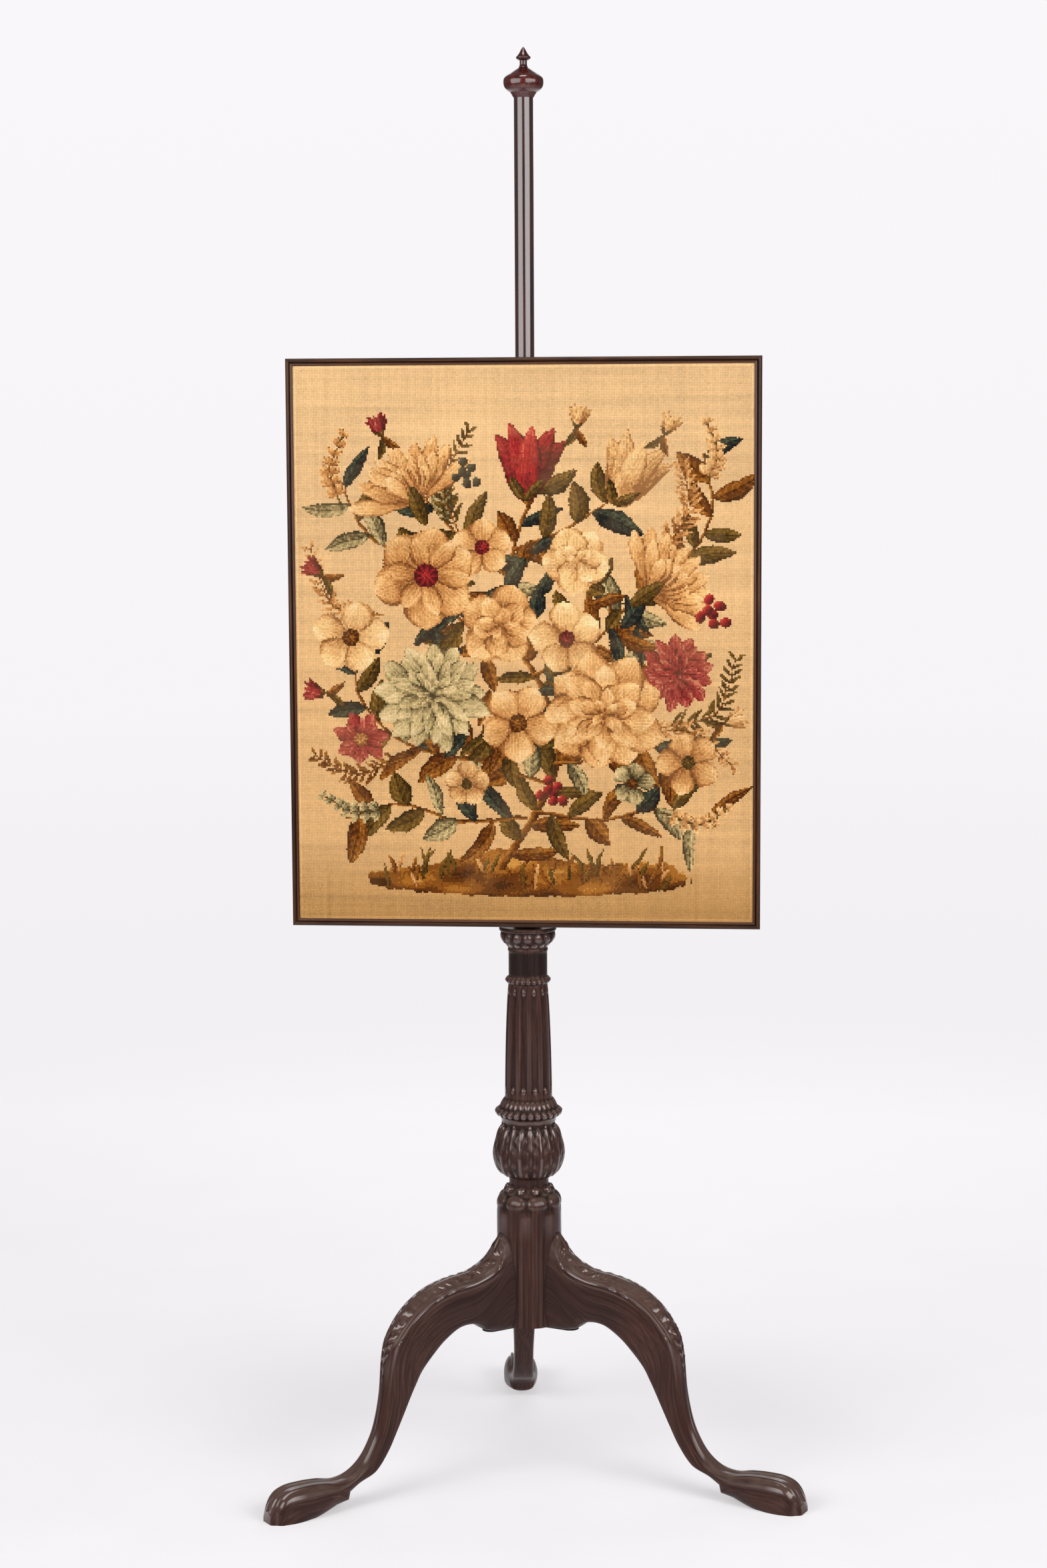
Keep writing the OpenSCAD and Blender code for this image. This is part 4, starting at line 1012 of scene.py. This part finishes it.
for k, points in enumerate(branches):
    run, ways = stem(points, *((4.6, 2.6) if k else (9, 4)))
    reach = run_length(run)
    for n, at in enumerate(np.arange(LEAF_FROM, reach[-1], LEAF_GAP)):
        i = int(np.searchsorted(reach, at))
        way = heading(ways[i]) + (1 if n % 2 else -1) * some(35, 72)
        family = any_of(OLIVE, BRONZE, OLIVE, NIGHT, BRONZE, CELADON)
        leaf(*run[i], way, some(34, 64), some(13, 24), family, some(-0.22, 0.22))

# Dark leaves deep in the middle of the bush
DEEP_LEAVES, DEEP_X, DEEP_Y, DEEP_WIDE, DEEP_TALL = 70, 8, 286, 128, 112
for _ in range(DEEP_LEAVES):
    turn, away = some(0, 2 * pi), sqrt(some(0, 1))
    x, y = DEEP_X + DEEP_WIDE * away * cos(turn), DEEP_Y + DEEP_TALL * away * sin(turn)
    family = any_of(NIGHT, OLIVE, BRONZE, NIGHT, OLIVE)
    leaf(x, y, some(0, 360), some(26, 52), some(11, 19), family, some(-0.2, 0.2))

# Flowers, the far ones first
spray(((196, 470), (206, 500), (196, 532)), 17, CREAM)
spray(((-196, 450), (-206, 486), (-192, 520)), 16, HONEY)
spray(((-150, 120), (-186, 118), (-216, 134)), 15, CELADON)
spray(((150, 118), (188, 106), (218, 122)), 15, CREAM)
sprig(((150, 400), (176, 440), (170, 486)), 20, HONEY)
sprig(((-70, 420), (-84, 470), (-58, 524)), 18, OLIVE)
sprig(((-150, 330), (-204, 340), (-228, 400)), 18, HONEY)
sprig(((150, 210), (206, 226), (226, 282)), 18, OLIVE)
sprig(((-130, 176), (-182, 158), (-226, 178)), 16, BRONZE)
sprig(((120, 200), (176, 206), (222, 170)), 16, HONEY)
chalice(2, 452, 84, 84, CRIMSON)
chalice(98, 446, 64, 82, CREAM)
fan(-112, 446, 112, 74, HONEY)
bloom(-186, 306, 42, WILD, CREAM, 12, 0.24, middle=(9, BRONZE))
fan(132, 352, 34, 72, HONEY)
bloom(176, 172, 34, WILD, HONEY, 40, middle=(7, OLIVE))
bloom(-176, 196, 30, STAR, BERRY, 8, 0.2, middle=(7, HONEY))
bloom(-44, 402, 34, WILD, HONEY, 20, 0.2, middle=(8, CRIMSON))
bloom(58, 388, 38, ROSE, CREAM, 50, 0.2)
bloom(164, 268, 40, DAHLIA, BERRY, 10, 0.04, 0.8)
bloom(-104, 372, 56, COSMOS, HONEY, 22, 0.1, middle=(13, CRIMSON))
bloom(-24, 318, 44, ROSE, HONEY, 8, 0.14)
bloom(46, 304, 40, WILD, CREAM, 30, 0.2, middle=(9, BERRY))
bloom(-6, 214, 42, WILD, HONEY, 62, 0.2, middle=(10, BRONZE))
bloom(-98, 244, 62, DAHLIA, CELADON, 6, 0.0, 0.82)
bloom(86, 224, 66, PEONY, HONEY, 20, 0.16)
bloom(116, 150, 24, WILD, CELADON, 5, middle=(6, BRONZE))
bloom(-62, 148, 26, WILD, CREAM, 15, middle=(6, OLIVE))
berries(202, 330, 6.0, CRIMSON)
berries(-60, 478, 5.0, NIGHT)
berries(30, 138, 5.4, CRIMSON)
buds = ((-216, 372, 140), (214, 214, 20), (-150, 520, 110), (58, 528, 80), (150, 520, 62), (-214, 246, 170))
for x, y, turn in buds:
    leaf(x, y, turn + 150, 26, 8, OLIVE, 0.2)
    leaf(x, y, turn - 140, 24, 8, BRONZE, -0.2)
    chalice(x, y, turn, 26, any_of(HONEY, BERRY, CREAM))

# Warm old dyes, fading, uneven dyeing along the rows, painted shade in a band just inside the frame, and a pale
# line at the edge
design = design * np.where(raised[..., None] > 0, AGED_DYE, 1.0)
faded = np.clip(0.035 + 0.04 * cloudy(28, 28) + 0.02 * cloudy(6, 6), 0.005, 0.25)[..., None]
design = design * (1 - faded) + ground * faded
rows = 0.035 * cloudy(2, 50) + 0.028 * cloudy(70, 2) + 0.03 * cloudy(6, 90) + 0.03 * cloudy(50, 50)
shade = 1 + rows + 0.045 * grainy()
edge_gap = np.minimum(CLOTH_W / 2 - np.abs(stitch_x), np.minimum(stitch_y, CLOTH_H - stitch_y))
shade = shade * (1 - 0.04 * smooth(16, 5, edge_gap) + 0.22 * smooth(4.2, 2.6, edge_gap))
stitch_colour = np.clip(design * np.clip(shade, 0.6, 1.25)[..., None], 0, 1)


def stitched(name):
    """Wool stitches: their yarn's colour with painted shade between them, a slanted ridge each, and fibres."""
    look = Look(name)
    place = look.place()
    across, _, up = look.xyz(look.scaled(place, (pi / (PITCH_X * MM), 1, pi / (PITCH_Y * MM))))
    slant = look.ridges(look.plus(across, up))
    height = look.plus(look.times(look.ridges(up), look.ridges(across)), look.times(slant, 0.5))
    fibre = look.noise(place, (2600, 2600, 2600), 2.0)
    yarn = look.field("yarn", "Color")
    # Painted shade in the low places between the stitch ridges.
    shade = look.mix(look.span(height, 0.05, 0.8, 0.42, 0), yarn, (60, 40, 24), "MULTIPLY")
    shade = look.mix(look.span(fibre, 0.3, 0.7, 0.16, 0), shade, (110, 84, 60), "MULTIPLY")
    relief = look.bump(height, 0.55, 0.5 * MM, look.bump(fibre, 0.3, 0.1 * MM))
    look.set(Base_Color=shade, Normal=relief, Specular_IOR_Level=0.06)
    look.set(Roughness=look.span(fibre, 0.3, 0.7, 0.75, 0.9))
    return look.material


def cloth(name, cols, rows, depth, facing, material, node):
    """A flat stretched cloth as a grid, with depth(x, z) in millimetres, facing the front or the back."""
    across, up = np.linspace(0, CLOTH_W, cols + 1), np.linspace(0, CLOTH_H, rows + 1)
    x, z = np.meshgrid(across - CLOTH_W / 2, up + CLOTH_LOW)
    index = np.arange(x.size).reshape(x.shape)
    quads = np.stack([index[:-1, :-1], index[:-1, 1:], index[1:, 1:], index[1:, :-1]], axis=-1).reshape(-1, 4)
    faces = (quads if facing < 0 else quads[:, ::-1]).tolist()
    piece = put_mesh(name, np.stack([x, depth(x, z), z], axis=-1), faces, material, "screen", node, node)
    return piece


lift_at = np.pad((raised[1:, 1:] + raised[:-1, 1:] + raised[1:, :-1] + raised[:-1, :-1]) / 4, 1, mode="edge")


def needle_y(x, z):
    """Worked motifs stand a little proud of the ground, and the canvas gives slightly between its edges."""
    return CLOTH_Y + 0.05 - STITCH_LIFT * lift_at + np.sin(x / 61 + 1) * np.sin(z / 47) * CANVAS_SLACK


def backing_y(x, z):
    """A little slack towards the middle, and faint puckers along the edges."""
    gap = np.minimum(CLOTH_W / 2 - np.abs(x), np.minimum(z - CLOTH_LOW, CLOTH_LOW + CLOTH_H - z))
    pucker = PUCKER * np.sin((x + z) / 6.5) * np.exp(-gap / 22)
    return BACKING_Y - 0.1 - LINING_SLACK * smooth(0, 60, gap) + pucker * smooth(0, 4, gap)


canvas = cloth("worked_canvas", STITCHES_X, STITCHES_Y, needle_y, -1, stitched("worked_wool"), "needlework")
yarn_field = canvas.data.attributes.new("yarn", "FLOAT_COLOR", "FACE")
rgba = np.concatenate([stitch_colour, np.ones(raised.shape + (1,))], axis=-1).astype(np.float32)
yarn_field.data.foreach_set("color", rgba.ravel())
cloth("back_lining", BACKING_COLS, BACKING_ROWS, backing_y, 1, LINEN, "back_cloth")

# Fittings that keep their CAD shapes

fittings = {
    BRASS: ("upper_ring_bracket", "lower_ring_bracket", "bracket_screws", "clamp_pad", "thumbscrew"),
    LEATHER: ("upper_ring_liner", "lower_ring_liner"),
    IRON: ("tripod_iron", "tripod_iron_screws"),
    PINE: ("strainer_top_rail", "strainer_bottom_rail", "strainer_left_stile", "strainer_right_stile"),
}
for material, names in fittings.items():
    for name in names:
        nodes[name].data.materials.clear()
        nodes[name].data.materials.append(material)

# Studio: floor sweeping up to a backdrop, and a pale surround

SWEEP_HALF, SWEEP_BACK, SWEEP_ROUND, SWEEP_STEPS, SWEEP_TOP = 14.0, 11.0, 1.6, 24, 9.0
SWEEP_FLOOR = -14.0, -2.0, 0.0, 1.6
FLOOR_GLOW, FAR_GLOW = 0.385, 0.665
PALE_NEAR, PALE_FAR, PALE_RISE, ROOM_LIGHT = 0.905, 0.95, 0.025, 0.16
# Where these change, in metres: glow along the floor and off in front, the mirrored strip, haze and paleness
GLOW_RUN, FRONT_RUN, STRIP_EDGE, STRIP_SPREAD = (-0.2, 1.7), (-1.2, -0.35), (0.6, 1.2), 0.2
HAZE_RUN, PALE_RUN, RISE_RUN = (1.2, 2.8), (2, 9), (0, 3)
PAPER, PAPER_FLECK, PAPER_LIGHT = (208, 206, 208), (205, 203, 205), (252, 250, 252)


def sweep():
    """A seamless floor and backdrop, a little brighter to the camera up the wall."""
    turns = np.linspace(0, pi / 2, SWEEP_STEPS + 1)
    curve = [(SWEEP_BACK + SWEEP_ROUND * sin(a), SWEEP_ROUND * (1 - cos(a))) for a in turns]
    line = [(y, 0.0) for y in SWEEP_FLOOR] + curve + [(SWEEP_BACK + SWEEP_ROUND, SWEEP_TOP)]
    points = [(x, y, z) for y, z in line for x in (-SWEEP_HALF, SWEEP_HALF)]
    mesh = bpy.data.meshes.new("studio_sweep")
    mesh.from_pydata(points, [], [(2 * k, 2 * k + 1, 2 * k + 3, 2 * k + 2) for k in range(len(line) - 1)])
    mesh.shade_smooth()
    look = Look("studio_paper")
    place = look.place()
    x, y, z = look.xyz(place)
    rays = look.add("LightPath")
    # The paper's own light shows to the camera, and in polish only from a strip down the middle
    middle = look.math("ABSOLUTE", look.math("MULTIPLY_ADD", y, tan(CAMERA_TURN), x))
    aside = look.math("SUBTRACT", middle, look.times(y, STRIP_SPREAD))
    mirrored = look.plus(rays["Is Glossy Ray"], rays["Is Transmission Ray"])
    mirrored = look.times(mirrored, look.span(aside, *STRIP_EDGE, 1, 0))
    seen = look.math("MINIMUM", look.plus(rays["Is Camera Ray"], mirrored), 1.0)
    glow = look.times(look.span(y, *GLOW_RUN, FLOOR_GLOW, FAR_GLOW), look.span(y, *FRONT_RUN))
    look.set(Base_Color=look.layered(PAPER, (look.noise(place, 7.0), 0.3, 0.7, 1, PAPER_FLECK)))
    look.set(Roughness=0.9, Specular_IOR_Level=0.0)
    look.set(Emission_Color=PAPER_LIGHT, Emission_Strength=look.times(glow, seen))
    away = look.add("VectorMath", {"operation": "LENGTH"}, look.scaled(place, (1, 1, 0)))["Value"]
    pale = look.plus(look.span(away, *PALE_RUN, PALE_NEAR, PALE_FAR), look.span(z, *RISE_RUN, 0, PALE_RISE))
    haze = look.add("Emission", (), PAPER_LIGHT, pale)[0]
    share = look.times(look.span(away, *HAZE_RUN), seen)
    joined = look.add("MixShader", (), share, look.shader.outputs[0], haze)[0]
    look.put(look.tree.nodes["Material Output"].inputs["Surface"], joined)
    mesh.materials.append(look.material)
    add_object("studio_sweep", mesh)


sweep()
scene.view_settings.view_transform = "Standard"
world = bpy.data.worlds.new("pale_room")
world.use_nodes = True
room, links = world.node_tree.nodes, world.node_tree.links
room["Background"].inputs["Color"].default_value = tone(250, 250, 255)
beheld = room.new("ShaderNodeMapRange")
beheld.inputs["To Min"].default_value, beheld.inputs["To Max"].default_value = ROOM_LIGHT, PALE_FAR
links.new(room.new("ShaderNodeLightPath").outputs["Is Camera Ray"], beheld.inputs["Value"])
links.new(beheld.outputs["Result"], room["Background"].inputs["Strength"])
scene.world = world

# Lamps: a wide soft box with a brighter core on either side, a small one overhead and a fill from behind

AIM_AT = Vector((0, 0, 0.9))
BOX_W, BOX_H, BOX_AWAY, BOX_Z = 2.7, 1.45, 2.4, 1.56
CORE_W, CORE_H, CORE_SHARE = 1.1, 0.9, 0.3
# Degrees from the camera's side, and watts
SIDE_BOXES = (("left", -47, 45.5), ("right", 41, 51.5))
TOP_PLACE, TOP_SIZE, TOP_WATTS = (0.0, -0.5, 3.1), 0.7, 8.0
FILL_PLACE, FILL_SIZE, FILL_WATTS = (0.3, 2.9, 2.3), 2.4, 16.0


def area_lamp(name, place, wide, tall, watts):
    """A flat lamp turned to the middle of the stand."""
    lamp = bpy.data.lights.new(name, "AREA")
    lamp.shape, lamp.size, lamp.size_y, lamp.energy = "RECTANGLE", wide, tall, watts
    holder = add_object(name, lamp)
    holder.location = place
    holder.rotation_euler = (AIM_AT - holder.location).to_track_quat("-Z", "Y").to_euler()
    return holder


for side_name, degrees, watts in SIDE_BOXES:
    turn = seen_at(degrees)
    place = (BOX_AWAY * cos(turn), BOX_AWAY * sin(turn), BOX_Z)
    area_lamp(side_name + "_soft_box", place, BOX_W, BOX_H, watts * (1 - CORE_SHARE))
    area_lamp(side_name + "_soft_box_core", place, CORE_W, CORE_H, watts * CORE_SHARE)
area_lamp("top_soft_box", TOP_PLACE, TOP_SIZE, TOP_SIZE, TOP_WATTS)
area_lamp("back_fill", FILL_PLACE, FILL_SIZE, FILL_SIZE, FILL_WATTS).visible_glossy = False

# Camera, as the photograph was taken

CAMERA_TILT, CAMERA_PAN, CAMERA_ROLL = radians(6.837), radians(-0.127), radians(-0.30)
CAMERA_SIDE, CAMERA_AWAY, CAMERA_HEIGHT = 3.5, 3274.4, 1157.4
SENSOR, FOCAL_SHARE, CLIP_END = 36.0, 4551.4 / 2348, 60.0


def turned(angle, axis="Z"):
    return Matrix.Rotation(angle, 4, axis)


lens = bpy.data.cameras.new("photo_camera")
lens.sensor_fit, lens.sensor_width, lens.lens = "AUTO", SENSOR, SENSOR * FOCAL_SHARE
lens.clip_end = CLIP_END
spot = Matrix.Translation(Vector((CAMERA_SIDE, -CAMERA_AWAY, CAMERA_HEIGHT)) * MM)
facing = turned(-CAMERA_PAN) @ turned(pi / 2 - CAMERA_TILT, "X") @ turned(CAMERA_ROLL)
scene.camera = add_object("photo_camera", lens)
scene.camera.matrix_world = turned(CAMERA_TURN) @ spot @ facing
